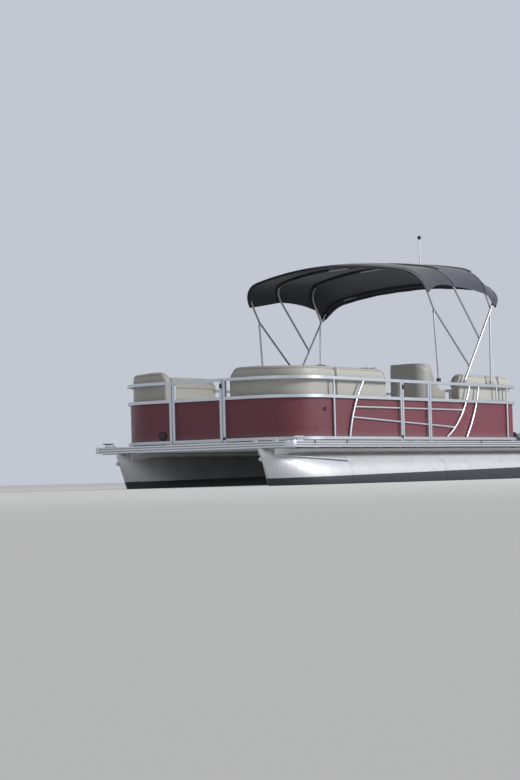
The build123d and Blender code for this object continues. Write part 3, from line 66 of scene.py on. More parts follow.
def at(station, side=0.0, up=0.0):
    """A point at a station, a distance to port and a height above the deck."""
    return Vector((BOW_X - station, side, DECK_Z + up))


# Camera, as solved from the photograph
FRAME_HEIGHT = 780
FOCAL_PIXELS = 1900.0
CAMERA_STATION = -15.6051
CAMERA_SIDE = 11.9945
CAMERA_UP = -0.3753
CAMERA_YAW = -2.5246
CAMERA_PITCH = 0.0467
CAMERA_ROLL = -0.0257

camera_data = bpy.data.cameras.new("camera")
camera_data.sensor_fit = "VERTICAL"
camera_data.sensor_height = 36.0
camera_data.lens = FOCAL_PIXELS / FRAME_HEIGHT * camera_data.sensor_height
camera_data.clip_end = 1000.0
camera = bpy.data.objects.new("camera", camera_data)
forward = Vector((
    cos(CAMERA_PITCH) * cos(CAMERA_YAW),
    cos(CAMERA_PITCH) * sin(CAMERA_YAW),
    sin(CAMERA_PITCH),
))
right = forward.cross(Vector((0, 0, 1))).normalized()
upward = right.cross(forward)
rolled_right = right * cos(CAMERA_ROLL) + upward * sin(CAMERA_ROLL)
rolled_up = upward * cos(CAMERA_ROLL) - right * sin(CAMERA_ROLL)
turn = Matrix((rolled_right, rolled_up, -forward)).transposed().to_4x4()
camera.matrix_world = Matrix.Translation(at(CAMERA_STATION, CAMERA_SIDE, CAMERA_UP)) @ turn
bpy.context.collection.objects.link(camera)
bpy.context.scene.camera = camera
bpy.context.scene.view_settings.view_transform = "Standard"


# Materials
def rgba(colour):
    return (*colour, 1.0)


def shade(colour, share):
    """A colour made darker or lighter."""
    return tuple(min(c * share, 1.0) for c in colour)


class Shading:
    """The nodes of a material or of the world, and the steps that build them."""

    def __init__(self, owner):
        owner.use_nodes = True
        self.owner = owner
        self.nodes = owner.node_tree.nodes
        self.link = owner.node_tree.links.new

    def feed(self, socket, value):
        """Links a socket to another one, or sets it to a number, vector or colour."""
        if hasattr(value, "is_linked"):
            self.link(value, socket)
        else:
            socket.default_value = rgba(value) if socket.type == "RGBA" else value

    def surface(self, name, value):
        """Feeds an input of the material's own shader."""
        self.feed(self.nodes["Principled BSDF"].inputs[name], value)

    def node(self, kind, settings, output=0):
        """An output of a new node whose inputs are fed from settings."""
        node = self.nodes.new("ShaderNode" + kind)
        for name, value in settings.items():
            self.feed(node.inputs[name], value)
        return node.outputs[output]

    def mixed(self, factor, low, high):
        """A colour between low and high."""
        mix = self.nodes.new("ShaderNodeMix")
        mix.data_type = "RGBA"
        for number, value in ((0, factor), (6, low), (7, high)):
            self.feed(mix.inputs[number], value)
        return mix.outputs[2]

    def place(self, stretch=(1, 1, 1)):
        """Row frame coordinates, stretched along the axes."""
        point = self.node("TexCoord", {}, "Object")
        return self.node("Mapping", {"Vector": point, "Scale": stretch})

    def noise(self, scale, detail=4.0, stretch=(1, 1, 1)):
        """Noise over the row frame, stretched along the axes."""
        settings = {"Vector": self.place(stretch), "Scale": scale, "Detail": detail}
        return self.node("TexNoise", settings, "Fac")

    def ramp(self, factor, low, high, low_value=0.0, high_value=1.0):
        """factor mapped from low..high to low_value..high_value, held at the ends."""
        return self.node("MapRange", {
            "Value": factor, "From Min": low, "From Max": high, "To Min": low_value,
            "To Max": high_value,
        }, "Result")

    def maths(self, operation, first, second=0.0):
        """One step of arithmetic on sockets or numbers."""
        node = self.nodes.new("ShaderNodeMath")
        node.operation = operation
        for socket, value in zip(node.inputs, (first, second)):
            self.feed(socket, value)
        return node.outputs[0]

    def times(self, first, second):
        return self.maths("MULTIPLY", first, second)

    def wave(self, distance, pitch):
        """A sine wave over a distance."""
        return self.maths("SINE", self.times(distance, 2 * pi / pitch))

    def parts(self, vector):
        """The X, Y and Z of a vector."""
        split = self.nodes.new("ShaderNodeSeparateXYZ")
        self.link(vector, split.inputs[0])
        return split.outputs

    def weave(self, pitch):
        """Waves across and along the boat that cross each other."""
        x, y = self.parts(self.place())[:2]
        return self.times(self.wave(x, pitch), self.wave(y, pitch))

    def tint(self, factor, low, high):
        """Mixes the material's colour."""
        self.surface("Base Color", self.mixed(factor, low, high))

    def gloss(self, factor, low, high):
        """Makes the roughness uneven, between low and high."""
        self.surface("Roughness", self.ramp(factor, 0.3, 0.7, low, high))

    def bump(self, height, strength, distance):
        """Adds a bump, on top of any the shader already has."""
        settings = {"Strength": strength, "Distance": distance, "Height": height}
        normal = self.nodes["Principled BSDF"].inputs["Normal"]
        if normal.is_linked:
            settings["Normal"] = normal.links[0].from_socket
        self.link(self.node("Bump", settings, "Normal"), normal)


def start_material(name, roughness=0.5, metallic=0.0):
    """The shading of a new material."""
    made = Shading(bpy.data.materials.new(name))
    made.surface("Roughness", roughness)
    made.surface("Metallic", metallic)
    return made


def metal(name, colour, roughness):
    """Bare or anodised aluminium: drawn grain, cloudy tone and uneven gloss."""
    made = start_material(name, roughness, 1.0)
    fine = made.noise(260.0, 3.0)
    tone = made.mixed(made.noise(5.0), shade(colour, 0.9), colour)
    marks = made.ramp(made.noise(34.0, 8.0), 0.62, 0.75)
    made.tint(marks, tone, shade(colour, 0.8))
    made.gloss(fine, roughness - 0.07, roughness + 0.09)
    made.bump(fine, 0.12, 0.0004)
    return made.owner


def grooved_metal(name, colour, roughness):
    """The rub rail's metal, with painted shade in the grooves between its ribs."""
    made = Shading(metal(name, colour, roughness))
    above = made.maths("SUBTRACT", made.parts(made.place())[2], DECK_Z - 0.052)
    # Painted shade: the grooves between the ribs are darkened in colour
    groove = made.ramp(made.wave(above, 0.026), 0.1, 0.45)
    unshaded_tone = made.nodes["Principled BSDF"].inputs["Base Color"].links[0].from_socket
    made.tint(groove, unshaded_tone, (0.3, 0.31, 0.32))
    return made.owner


def plastic(name, colour, roughness):
    """Moulded plastic or gelcoat with a faint texture and dulled patches."""
    made = start_material(name, roughness)
    made.tint(made.noise(7.0), shade(colour, 0.88), colour)
    made.gloss(made.noise(3.0), roughness - 0.05, roughness + 0.1)
    made.bump(made.noise(240.0), 0.3, 0.0003)
    return made.owner


def vinyl(name, colour, roughness=0.46):
    """Marine vinyl: pebbled grain, soft creases, and a sheen where it is rubbed."""
    made = start_material(name, roughness)
    tone = made.mixed(made.noise(4.5), shade(colour, 0.9), colour)
    soil = made.ramp(made.noise(11.0, 8.0), 0.56, 0.74)
    made.tint(soil, tone, shade(colour, 0.84))
    made.gloss(made.noise(8.0), roughness - 0.06, roughness + 0.1)
    made.surface("Sheen Weight", 0.12)
    made.surface("Sheen Roughness", 0.4)
    made.bump(made.noise(9.0, 5.0, (1, 1, 1.7)), 0.35, 0.006)
    pebbles = made.node("TexVoronoi", {"Vector": made.place(), "Scale": 620.0}, "Distance")
    made.bump(pebbles, 0.3, 0.0005)
    return made.owner


def cloth(name, colour, pitch=0.0016):
    """Woven acrylic: crossed yarns, and a lighter top, partly sun fading and partly painted light
    from above.
    """
    made = start_material(name, 0.85)
    weave = made.weave(pitch)
    tone = made.mixed(made.noise(3.0, 6.0), shade(colour, 0.75), shade(colour, 1.2))
    # Upward-facing cloth is made lighter: partly sun fading, partly painted light from above
    upward = made.parts(made.node("NewGeometry", {}, "Normal"))[2]
    fade_and_top_light = made.ramp(upward, 0.1, 0.95, 0.0, 0.6)
    faded_and_lit_tone = made.mixed(fade_and_top_light, tone, (0.075, 0.078, 0.09))
    made.tint(made.ramp(weave, -1, 1, 0.0, 0.25), faded_and_lit_tone, shade(colour, 2.4))
    made.surface("Sheen Weight", 0.3)
    made.surface("Sheen Roughness", 0.5)
    made.bump(weave, 0.25, 0.0006)
    made.bump(made.noise(4.0, 3.0), 0.35, 0.02)
    return made.owner


def ribbed_skin(name, colour, pitch=0.0105):
    """Painted sheet with fine upright ribs, painted shade along each rib, and a dusty lower edge."""
    made = start_material(name, 0.34)
    x, y, z = made.parts(made.place())
    wave = made.wave(made.maths("SUBTRACT", made.maths("ABSOLUTE", y), x), pitch)
    cloud = made.noise(3.0, 6.0, (1, 1, 0.4))
    tone = made.mixed(cloud, shade(colour, 0.86), shade(colour, 1.08))
    # Painted shade: a dark band along each rib, in step with the ribs' bump
    tone = made.mixed(made.ramp(wave, -1, 1, 0.0, 0.3), tone, shade(colour, 0.6))
    low = made.ramp(z, DECK_Z + 0.02, DECK_Z + 0.12, 0.35, 0.0)
    made.tint(low, tone, (0.24, 0.17, 0.16))
    made.gloss(made.noise(12.0), 0.32, 0.48)
    made.surface("Coat Weight", 0.12)
    made.surface("Coat Roughness", 0.2)
    made.bump(wave, 0.3, 0.001)
    return made.owner


# The paint line on the hulls: its height at the bow, and its rise for each metre aft
PAINT_LINE = 0.376
PAINT_RISE = 0.0122


def hull_metal(name):
    """Rolled aluminium above the paint line, with painted light near its top, and dark bottom paint
    below it.
    """
    made = start_material(name, 0.42, 1.0)
    x, y, z = made.parts(made.place())
    station = made.maths("SUBTRACT", BOW_X, x)
    line = made.maths("ADD", made.times(station, PAINT_RISE), PAINT_LINE)
    above = made.maths("SUBTRACT", z, line)
    wobble = made.times(made.noise(9.0), 0.006)
    bare = made.ramp(made.maths("ADD", above, wobble), 0.0, 0.004)
    tone = made.mixed(made.noise(2.2, 6.0), (0.52, 0.54, 0.57), (0.64, 0.66, 0.69))
    run = made.ramp(made.noise(5.0, 8.0, (6, 6, 0.5)), 0.52, 0.7, 0.0, 0.3)
    tone = made.mixed(run, tone, (0.42, 0.44, 0.47))
    splash = made.ramp(above, 0.0, 0.14, 0.55, 0.0)
    tone = made.mixed(splash, tone, (0.46, 0.48, 0.49))
    # Painted light: the hull's top under the rub rail is lightened towards near-white, against the
    # rub rail's shadow
    high = made.ramp(z, 0.52, 0.655, 0.0, 0.8)
    tone = made.mixed(high, tone, (0.93, 0.94, 0.95))
    paint = made.mixed(made.noise(14.0, 8.0), (0.008, 0.011, 0.017), (0.022, 0.027, 0.036))
    made.tint(bare, paint, tone)
    made.surface("Metallic", made.times(bare, 0.35))
    made.gloss(made.noise(18.0, 6.0, (1, 1, 0.3)), 0.42, 0.6)
    made.bump(made.noise(1.6, 2.0), 0.3, 0.01)
    made.bump(made.noise(190.0, 3.0, (0.2, 1, 1)), 0.12, 0.0004)
    return made.owner


def woven_deck(name, colour, pitch=0.009):
    """Woven vinyl flooring: a basket weave in two tones."""
    made = start_material(name, 0.82)
    weave = made.weave(pitch)
    tone = made.mixed(made.noise(2.5, 6.0), shade(colour, 0.82), colour)
    made.tint(made.ramp(weave, -0.6, 0.6), shade(colour, 0.6), tone)
    made.bump(weave, 0.5, 0.0012)
    return made.owner


def clear(name, colour, roughness=0.05):
    """Tinted acrylic or a lens."""
    made = start_material(name, roughness)
    made.surface("Transmission Weight", 0.85)
    made.surface("IOR", 1.45)
    made.tint(made.noise(6.0), shade(colour, 0.85), colour)
    return made.owner


def dial_face(name):
    """A dark dial with a ring of plain ticks, drawn round each gauge's own centre."""
    made = start_material(name, 0.35)
    across, along = made.parts(made.node("TexCoord", {}, "UV"))[:2]
    u = made.maths("SUBTRACT", across, 0.5)
    v = made.maths("SUBTRACT", along, 0.5)
    far = made.maths("SQRT", made.maths("ADD", made.times(u, u), made.times(v, v)))
    ticks = made.maths("COSINE", made.times(made.maths("ARCTAN2", v, u), 24.0))
    sharp = made.maths("GREATER_THAN", ticks, 0.75)
    inner = made.maths("GREATER_THAN", far, 0.34)
    outer = made.maths("LESS_THAN", far, 0.44)
    made.tint(made.times(made.times(sharp, inner), outer), (0.012, 0.012, 0.015), (0.8, 0.8, 0.78))
    return made.owner


def pole_metal(name, ball_up):
    """A bright pole whose lamp, above ball_up, is dark."""
    made = start_material(name, 0.35)
    lamp_part = made.maths("GREATER_THAN", made.parts(made.place())[2], DECK_Z + ball_up)
    bare = made.mixed(made.noise(30.0), (0.36, 0.37, 0.4), (0.5, 0.52, 0.55))
    made.tint(lamp_part, bare, (0.03, 0.032, 0.04))
    made.surface("Metallic", made.maths("SUBTRACT", 1.0, lamp_part))
    return made.owner


# Each of the record's material slots: its maker, colour and roughness
FINISHES = {
    "rail_metal": (metal, (0.66, 0.69, 0.73), 0.36),
    "mill_metal": (metal, (0.6, 0.61, 0.63), 0.42),
    "bow_tube": (metal, (0.5, 0.51, 0.54), 0.4),
    "pontoon_metal": (hull_metal,),
    "deck_vinyl": (woven_deck, (0.36, 0.33, 0.29)),
    "maroon_skin": (ribbed_skin, (0.160, 0.026, 0.044)),
    "couch_base": (plastic, (0.44, 0.43, 0.395), 0.5),
    "cream_vinyl": (vinyl, (0.43, 0.422, 0.392)),
    "grey_vinyl": (vinyl, (0.5, 0.5, 0.485)),
    "console_gelcoat": (plastic, (0.52, 0.51, 0.47), 0.24),
    "black_trim": (plastic, (0.02, 0.02, 0.022), 0.42),
    "motor_grey": (plastic, (0.05, 0.05, 0.055), 0.35),
    "motor_black": (plastic, (0.016, 0.016, 0.02), 0.16),
    "prop_steel": (metal, (0.58, 0.58, 0.6), 0.2),
    "canopy_cloth": (cloth, (0.022, 0.026, 0.042)),
}
MATERIALS = {name: maker(name, *look) for name, (maker, *look) in FINISHES.items()}
SMOKED = clear("smoked_acrylic", (0.16, 0.17, 0.18))
RED_LENS = clear("red_lens", (0.7, 0.03, 0.03), 0.1)
GREEN_LENS = clear("green_lens", (0.03, 0.5, 0.16), 0.1)
DIAL = dial_face("dial_face")
PIPING = vinyl("piping", (0.36, 0.35, 0.31))
CREAM = MATERIALS["cream_vinyl"]
GREY = MATERIALS["grey_vinyl"]
CLOTH = MATERIALS["canopy_cloth"]
BLACK = MATERIALS["black_trim"]
MILL = MATERIALS["mill_metal"]
BRIGHT = MATERIALS["rail_metal"]
MOTOR_GREY = MATERIALS["motor_grey"]

SLOT_OF = {part["node"]: part["material_slot"] for part in frame["record"]["subparts"]}
for node_name, node in NODES.items():
    node.data.materials.clear()
    node.data.materials.append(MATERIALS[SLOT_OF[node_name]])
NODES["light_pole"].data.materials[0] = pole_metal("pole_metal", 2.53)
NODES["rub_rail"].data.materials[0] = grooved_metal("rub_rail_metal", (0.74, 0.76, 0.79), 0.34)

# Rolled edges on the extruded frames, by radius
SOFT_EDGES = {
    0.001: "ladder_bracket",
    0.002: "rub_rail brace_feet cross_channels",
    0.003: "fence_port_bow fence_port_aft fence_starboard_bow fence_starboard_aft bow_gate "
           "side_gate stern_gate",
    0.004: "couch_bases outboard_clamp",
    0.006: "motor_pod",
    0.01: "helm_console",
}
for radius, names in SOFT_EDGES.items():
    for node_name in names.split():
        rolled = NODES[node_name].modifiers.new("rolled_edge", "BEVEL")
        rolled.width = radius
        rolled.segments = 2
        rolled.limit_method = "ANGLE"
        rolled.angle_limit = radians(50)
        rolled.harden_normals = True


# Mesh building
def skin(mesh, rings, closed=False):
    """Rows of vertices at rings of points, with faces from each row to the next."""
    rows = [[mesh.verts.new(point) for point in ring] for ring in rings]
    following = rows[1:] + rows[:1] if closed else rows[1:]
    for low, high in zip(rows, following):
        for k in range(len(low)):
            after = (k + 1) % len(low)
            mesh.faces.new((low[k], low[after], high[after], high[k]))
    return rows


def circle(centre, across, other, radius, sides):
    """Points round a centre, in the plane of two directions."""
    turns = [2 * pi * s / sides for s in range(sides)]
    return [centre + (across * cos(turn) + other * sin(turn)) * radius for turn in turns]


def new_piece(name, mesh, material):
    """An object made of a finished mesh, shaded smooth."""
    data = bpy.data.meshes.new(name)
    mesh.to_mesh(data)
    mesh.free()
    data.materials.append(material)
    data.shade_smooth()
    piece = bpy.data.objects.new(name, data)
    bpy.context.collection.objects.link(piece)
    return piece


class Build:
    """Mesh of one material that rides on one body."""

    def __init__(self):
        self.mesh = bmesh.new()

    def rings(self, rings, closed=False):
        """A skin through rings of points, capped at its ends."""
        rows = skin(self.mesh, rings, closed)
        if not closed:
            self.mesh.faces.new(list(reversed(rows[0])))
            self.mesh.faces.new(rows[-1])

    def tube(self, points, radius, sides=8, closed=False):
        """A round bar along points."""
        points = [Vector(point) for point in points]
        count = len(points)
        across = None
        rings = []
        for k, point in enumerate(points):
            ahead = points[(k + 1) % count] if closed or k + 1 < count else point
            behind = points[k - 1] if closed or k else point
            along = (ahead - behind).normalized()
            if across is None:
                across = along.orthogonal().normalized()
            across = (across - along * across.dot(along)).normalized()
            rings.append(circle(point, across, along.cross(across), radius, sides))
        self.rings(rings, closed)

    def lathe(self, origin, axis, profile, sides=24):
        """A turned form: profile is a list of (radius, distance along the axis)."""
        axis = Vector(axis).normalized()
        across = axis.orthogonal().normalized()
        other = axis.cross(across)
        self.rings([
            circle(Vector(origin) + axis * along, across, other, radius, sides)
            for radius, along in profile
        ])

    def block(self, centre, size, soft=0.002, turned=None):
        """A block with rolled edges, turned by a matrix."""
        made = bmesh.ops.create_cube(self.mesh, size=1.0)["verts"]
        for vert in made:
            offset = Vector(vert.co[axis] * size[axis] for axis in range(3))
            if turned is not None:
                offset = turned @ offset
            vert.co = Vector(centre) + offset
        around = list(dict.fromkeys(edge for vert in made for edge in vert.link_edges))
        bmesh.ops.bevel(
            self.mesh, geom=around, offset=soft, segments=2, profile=0.7, affect="EDGES"
        )

    def finish(self, name, material, body, sharp=40):
        """The object, shaded smooth up to an angle."""
        bmesh.ops.recalc_face_normals(self.mesh, faces=self.mesh.faces[:])
        piece = new_piece(name, self.mesh, material)
        piece.data.set_sharp_from_angle(angle=radians(sharp))
        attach(piece, body)


def rounded_loop(corners, step):
    """Points round a closed outline, and which of them are sewn down.

    Each corner is (a, u, radius, sewn).
    """
    points, sewn = [], []
    count = len(corners)
    for k, (a, u, radius, is_sewn) in enumerate(corners):
        here = Vector((a, u))
        before = Vector(corners[k - 1][:2])
        after = Vector(corners[(k + 1) % count][:2])
        start = here + (before - here).normalized() * radius
        end = here + (after - here).normalized() * radius
        bends = max(2, ceil(1.7 * radius / step)) if radius else 0
        for b in range(bends + 1 if bends else 1):
            t = b / bends if bends else 0
            points.append(start.lerp(here, t).lerp(here.lerp(end, t), t))
            sewn.append(is_sewn and not radius)
        a2, u2, radius2 = corners[(k + 1) % count][:3]
        next_start = Vector((a2, u2)) + (here - Vector((a2, u2))).normalized() * radius2
        span = (next_start - end).length
        runs = max(1, round(span / step))
        for r in range(1, runs):
            points.append(end.lerp(next_start, r / runs))
            sewn.append(False)
    return points, sewn


# Padded pieces. Each is swelled by cloth pressure between its sewn lines.
STUFFED = []
SEAMS = []
PRESSURE = 4.0
FRAMES = 20


def stuff(name, rings, sewn_rings, seams, material, body, cap):
    """A closed pad through rings of points, ready to be swelled by up to cap.

    sewn_rings holds, for each ring, which points stay put. seams lists the point numbers
    whose lines along the pad are piped.
    """
    mesh = bmesh.new()
    rows = skin(mesh, rings)
    for row in (rows[0], rows[-1]):
        middle = mesh.verts.new(sum((vert.co for vert in row), Vector()) / len(row))
        for k in range(len(row)):
            mesh.faces.new((row[k], row[(k + 1) % len(row)], middle))
    bmesh.ops.recalc_face_normals(mesh, faces=mesh.faces[:])
    piece = new_piece(name, mesh, material)
    size = len(rings[0])
    held = [
        index * size + k
        for index, flags in enumerate(sewn_rings)
        for k, flag in enumerate(flags)
        if flag
    ]
    piece.vertex_groups.new(name="sewn").add(held, 1.0, "REPLACE")
    STUFFED.append((piece, cap, body))
    for k in seams:
        SEAMS.append((piece, [index * size + k for index in range(len(rings))], body))
    return piece


def swell():
    """Runs the pressure on every pad at once, caps how far it moves and keeps the result."""
    scene = bpy.context.scene
    for piece, cap, body in STUFFED:
        fabric = piece.modifiers.new("swell", "CLOTH")
        settings = fabric.settings
        settings.quality = 4
        settings.mass = 0.4
        settings.tension_stiffness = 20
        settings.compression_stiffness = 20
        settings.shear_stiffness = 8
        settings.bending_stiffness = 1.5
        settings.use_pressure = True
        settings.uniform_pressure_force = PRESSURE
        settings.vertex_group_mass = "sewn"
        settings.effector_weights.gravity = 0
        fabric.collision_settings.use_collision = False
        fabric.point_cache.frame_start = 1
        fabric.point_cache.frame_end = FRAMES
    for number in range(1, FRAMES + 1):
        scene.frame_set(number)
    graph = bpy.context.evaluated_depsgraph_get()
    for piece, cap, body in STUFFED:
        swelled = piece.evaluated_get(graph).to_mesh()
        moved = [vert.co.copy() for vert in swelled.vertices]
        for vert, place in zip(piece.data.vertices, moved):
            step = place - vert.co
            if step.length > cap:
                step = step.normalized() * cap
            vert.co = vert.co + step
        piece.evaluated_get(graph).to_mesh_clear()
        piece.modifiers.remove(piece.modifiers["swell"])
    scene.frame_set(1)
    for piece, cap, body in STUFFED:
        fine = piece.modifiers.new("fine", "SUBSURF")
        fine.levels = 1
        fine.render_levels = 1
        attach(piece, body)


# A pad's rounded end: how far each ring is turned, and the share of its inset
ROUNDED_END = ((90, 2.4), (90, 1.5), (90, 1), (65, 1), (40, 1), (18, 1))


def band(name, outer, inner, side_sign, base, loop, material, body, cap, end_round,
         high=None, cross_seams=()):
    """A pad that follows two plan lines, which are lists of (station, side).

    loop is (points, sewn) in (distance in from the outer line, height), and high scales
    the heights along the lines.
    """
    points, sewn = loop
    depth = max(point.x for point in points)
    height = max(point.y for point in points)
    high = high or [1.0] * len(outer)
    middles = [(Vector(o) + Vector(i)) / 2 for o, i in zip(outer, inner)]
    length = sum((b - a).length for a, b in zip(middles, middles[1:]))
    rings, flags = [], []

    def ring(index, push, inset, crossed=False):
        low, far = Vector(outer[index]), Vector(inner[index])
        tall = height * high[index]
        made = []
        for point in points:
            a = depth / 2 + (point.x - depth / 2) * (depth - 2 * inset) / depth
            u = tall / 2 + (point.y * high[index] - tall / 2) * (tall - 2 * inset) / tall
            flat = low.lerp(far, a / depth) + push
            made.append(at(flat.x, side_sign * flat.y, base + u))
        rings.append(made)
        flags.append([crossed or flag or point.y < 0.001 for flag, point in zip(sewn, points)])

    def end(index, onward, steps):
        for turned, share in steps:
            ahead = end_round * (1 - sin(radians(turned)))
            inset = end_round * (1 - cos(radians(turned))) * share
            ring(index, onward.normalized() * ahead, min(inset, depth * 0.42))

    end(0, middles[1] - middles[0], ROUNDED_END)
    gone = 0.0
    for index in range(1, len(outer) - 1):
        gone += (middles[index] - middles[index - 1]).length
        if end_round <= gone <= length - end_round:
            near = 0.5 * length / len(outer)
            crossed = any(abs(gone - seam * length) < near for seam in cross_seams)
            ring(index, Vector((0, 0)), 0.0, crossed)
    end(len(outer) - 1, middles[-2] - middles[-1], ROUNDED_END[::-1])
    seams = [k for k, flag in enumerate(sewn) if flag]
    return stuff(name, rings, flags, seams, material, body, cap)


# The fence's plan, from which the couches are set in
FENCE_FRONT = 0.158
FENCE_AFT = 4.974
FENCE_HALF = 1.226
FRONT_RADIUS = 0.562
AFT_RADIUS = 0.11
LEAST_RADIUS = 0.045
BACK_OUT = 0.056
BACK_IN = 0.192
SEAT_OUT = 0.197
SEAT_IN = 0.640
SEAT_BASE = 0.302
BOW_BACK_SPLIT = 1.06
AFT_BACK_SPLIT = 4.62
GAP = 0.002


def between(start, end, count, last=0):
    """count even steps from start towards end, and the end itself where last is 1."""
    return [start + (end - start) * k / count for k in range(count + last)]


def quarter(count):
    """The sine and cosine of count even steps of a quarter turn."""
    return [(sin(pi / 2 * k / count), cos(pi / 2 * k / count)) for k in range(count)]


def front_line(inset, start_side, end_station, counts):
    """A line round the front corner: across the bow, round, and aft."""
    radius = max(FRONT_RADIUS - inset, LEAST_RADIUS)
    station, side = FENCE_FRONT + inset, FENCE_HALF - inset
    across, bend, along = counts
    line = [(station, b) for b in between(start_side, side - radius, across)]
    line += [(station + radius * (1 - c), side - radius * (1 - s)) for s, c in quarter(bend)]
    return line + [(a, side) for a in between(station + radius, end_station, along, 1)]


def side_line(inset, start_station, end_station, count):
    """A straight line aft along the side."""
    return [(a, FENCE_HALF - inset) for a in between(start_station, end_station, count, 1)]


def aft_line(inset, start_station, end_side, counts):
    """A line aft along the side, round the aft corner and across the stern."""
    radius = max(AFT_RADIUS - inset, LEAST_RADIUS)
    station, side = FENCE_AFT - inset, FENCE_HALF - inset
    along, bend, across = counts
    line = [(a, side) for a in between(start_station, station - radius, along)]
    line += [(station - radius * (1 - s), side - radius * (1 - c)) for s, c in quarter(bend)]
    return line + [(station, b) for b in between(side - radius, end_side, across, 1)]


# Cross-sections: (in from the outer face, height, radius, sewn), round from the outer foot
BACK_UP = 0.486
BACK_LOOP = rounded_loop((
    (0.004, 0.0, 0.01, False), (0.0, 0.20, 0.0, False), (0.002, 0.445, 0.05, False),
    (0.03, BACK_UP, 0.04, False), (0.10, BACK_UP, 0.045, False), (0.136, 0.44, 0.03, False),
    (0.134, 0.375, 0.012, False), (0.118, 0.362, 0.0, True), (0.130, 0.349, 0.012, False),
    (0.133, 0.24, 0.0, False), (0.122, 0.235, 0.0, True), (0.133, 0.23, 0.0, False),
    (0.136, 0.0, 0.012, False),
), 0.022)
SEAT_LOOP = rounded_loop((
    (0.0, 0.0, 0.008, False), (0.0, 0.106, 0.025, False), (0.115, 0.110, 0.0, False),
    (0.125, 0.102, 0.0, True), (0.135, 0.110, 0.0, False), (0.325, 0.112, 0.0, False),
    (0.335, 0.103, 0.0, True), (0.345, 0.112, 0.0, False), (0.440, 0.108, 0.035, False),
    (0.443, 0.045, 0.0, False), (0.436, 0.038, 0.0, True), (0.443, 0.031, 0.0, False),
    (0.443, 0.0, 0.008, False),
), 0.024)

# How far a back's top is rounded down at a free end and where it meets the next back
FREE = 0.12
MET = 0.045


def shoulders(line, start_radius, end_radius):
    """Shares of the height along a back, with its top rounded down at both ends."""
    reach = [0.0]
    for (a, b), (c, d) in zip(line, line[1:]):
        reach.append(reach[-1] + hypot(c - a, d - b))
    made = []
    for here in reach:
        drop = 0.0
        for gone, radius in ((here, start_radius), (reach[-1] - here, end_radius)):
            short = max(0.0, radius - gone - 0.014)
            drop = max(drop, radius - (radius * radius - short * short) ** 0.5)
        made.append(1 - drop / BACK_UP)
    return made


def couch_back(name, node, sign, ends, plan, *run):
    """A back along a plan line, which is made with the rest of the arguments."""
    outer = plan(BACK_OUT, *run)
    pad = band(name, outer, plan(BACK_IN, *run), sign, SEAT_BASE, BACK_LOOP, CREAM, "boat",
               0.010, 0.03, shoulders(outer, *ends))
    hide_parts(node)


def couch_seat(name, node, sign, plan, *run):
    """A seat along a plan line, which is made with the rest of the arguments."""
    pad = band(name, plan(SEAT_OUT, *run), plan(SEAT_IN, *run), sign, SEAT_BASE, SEAT_LOOP,
               CREAM, "boat", 0.009, 0.02)
    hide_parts(node)


# Bow couches: side, start across the bow, and the aft ends of the seat and of the back
for word, sign, start, end, back_end in (
    ("port", 1, 0.367, 2.158, 2.062), ("starboard", -1, 0.462, 1.998, 1.905),
):
    couch_back(f"{word}_bow_back_front", "bow_couch_backs", sign, (FREE, MET),
               front_line, start, BOW_BACK_SPLIT - GAP, (10, 24, 14))
    couch_back(f"{word}_bow_back_side", "bow_couch_backs", sign, (MET, FREE),
               side_line, BOW_BACK_SPLIT + GAP, back_end, 44)
    couch_seat(f"{word}_bow_seat_front", "bow_couch_seats", sign,
               front_line, start, 1.25 - GAP, (7, 14, 16))
    couch_seat(f"{word}_bow_seat_side", "bow_couch_seats", sign, side_line, 1.25 + GAP, end, 32)

# Aft couch: along the port side and across the stern to the gate
AFT_FRONT = 3.652
couch_back("aft_back_side", "aft_couch_back", 1, (FREE, MET),
           side_line, AFT_FRONT, AFT_BACK_SPLIT - GAP, 40)
couch_back("aft_back_corner", "aft_couch_back", 1, (MET, FREE),
           aft_line, AFT_BACK_SPLIT + GAP, 0.582, (9, 5, 22))
couch_seat("aft_seat_front", "aft_couch_seat", 1, side_line, AFT_FRONT, 4.216 - GAP, 24)
couch_seat("aft_seat_rear", "aft_couch_seat", 1, side_line, 4.216 + GAP, 4.774, 24)


# Chairs: station, side and which way each faces
CHAIRS = (("helm_chair", 4.050, -0.560, 1), ("guest_chair", 4.260, 0.220, -1))
CHAIR_HALF = 0.26
CHAIR_CORNER = 0.15
SEAT_UP = 0.4005
ARM_UP = 0.65
CHAIR_BACK_UP = 0.955
WRAP_FOOT = 0.374


def chair_line(inset, front, shift=0.0):
    """A line round a chair, from its front left over its back to its front right."""
    radius = CHAIR_CORNER - inset
    turn_x = CHAIR_CORNER - CHAIR_HALF + shift
    turn_y = CHAIR_HALF - CHAIR_CORNER
    side = CHAIR_HALF - inset
    line = [(x, side) for x in between(front, turn_x, 9)]
    line += [(turn_x - radius * s, turn_y + radius * c) for s, c in quarter(8)]
    line += [(turn_x - radius, y) for y in between(turn_y, -turn_y, 8)]
    line += [(turn_x - radius * c, -turn_y - radius * s) for s, c in quarter(8)]
    return line + [(x, -side) for x in between(turn_x, front, 9, 1)]


def eased(value, low, high):
    """0 below low and 1 above high, with a smooth passage between."""
    share = min(max((value - low) / (high - low), 0.0), 1.0)
    return share * share * (3 - 2 * share)


def chair_top(x, y):
    """The height of the back's and arms' sweeping top edge, lower at the back's corners."""
    sweep = CHAIR_BACK_UP + (ARM_UP - CHAIR_BACK_UP) * eased(x, -0.13, 0.173) ** 0.85
    corner = min(max((abs(y) - 0.08) / 0.18, 0.0), 1.0)
    return sweep - 0.06 * corner * corner * (1 - eased(x, -0.07, 0.17))


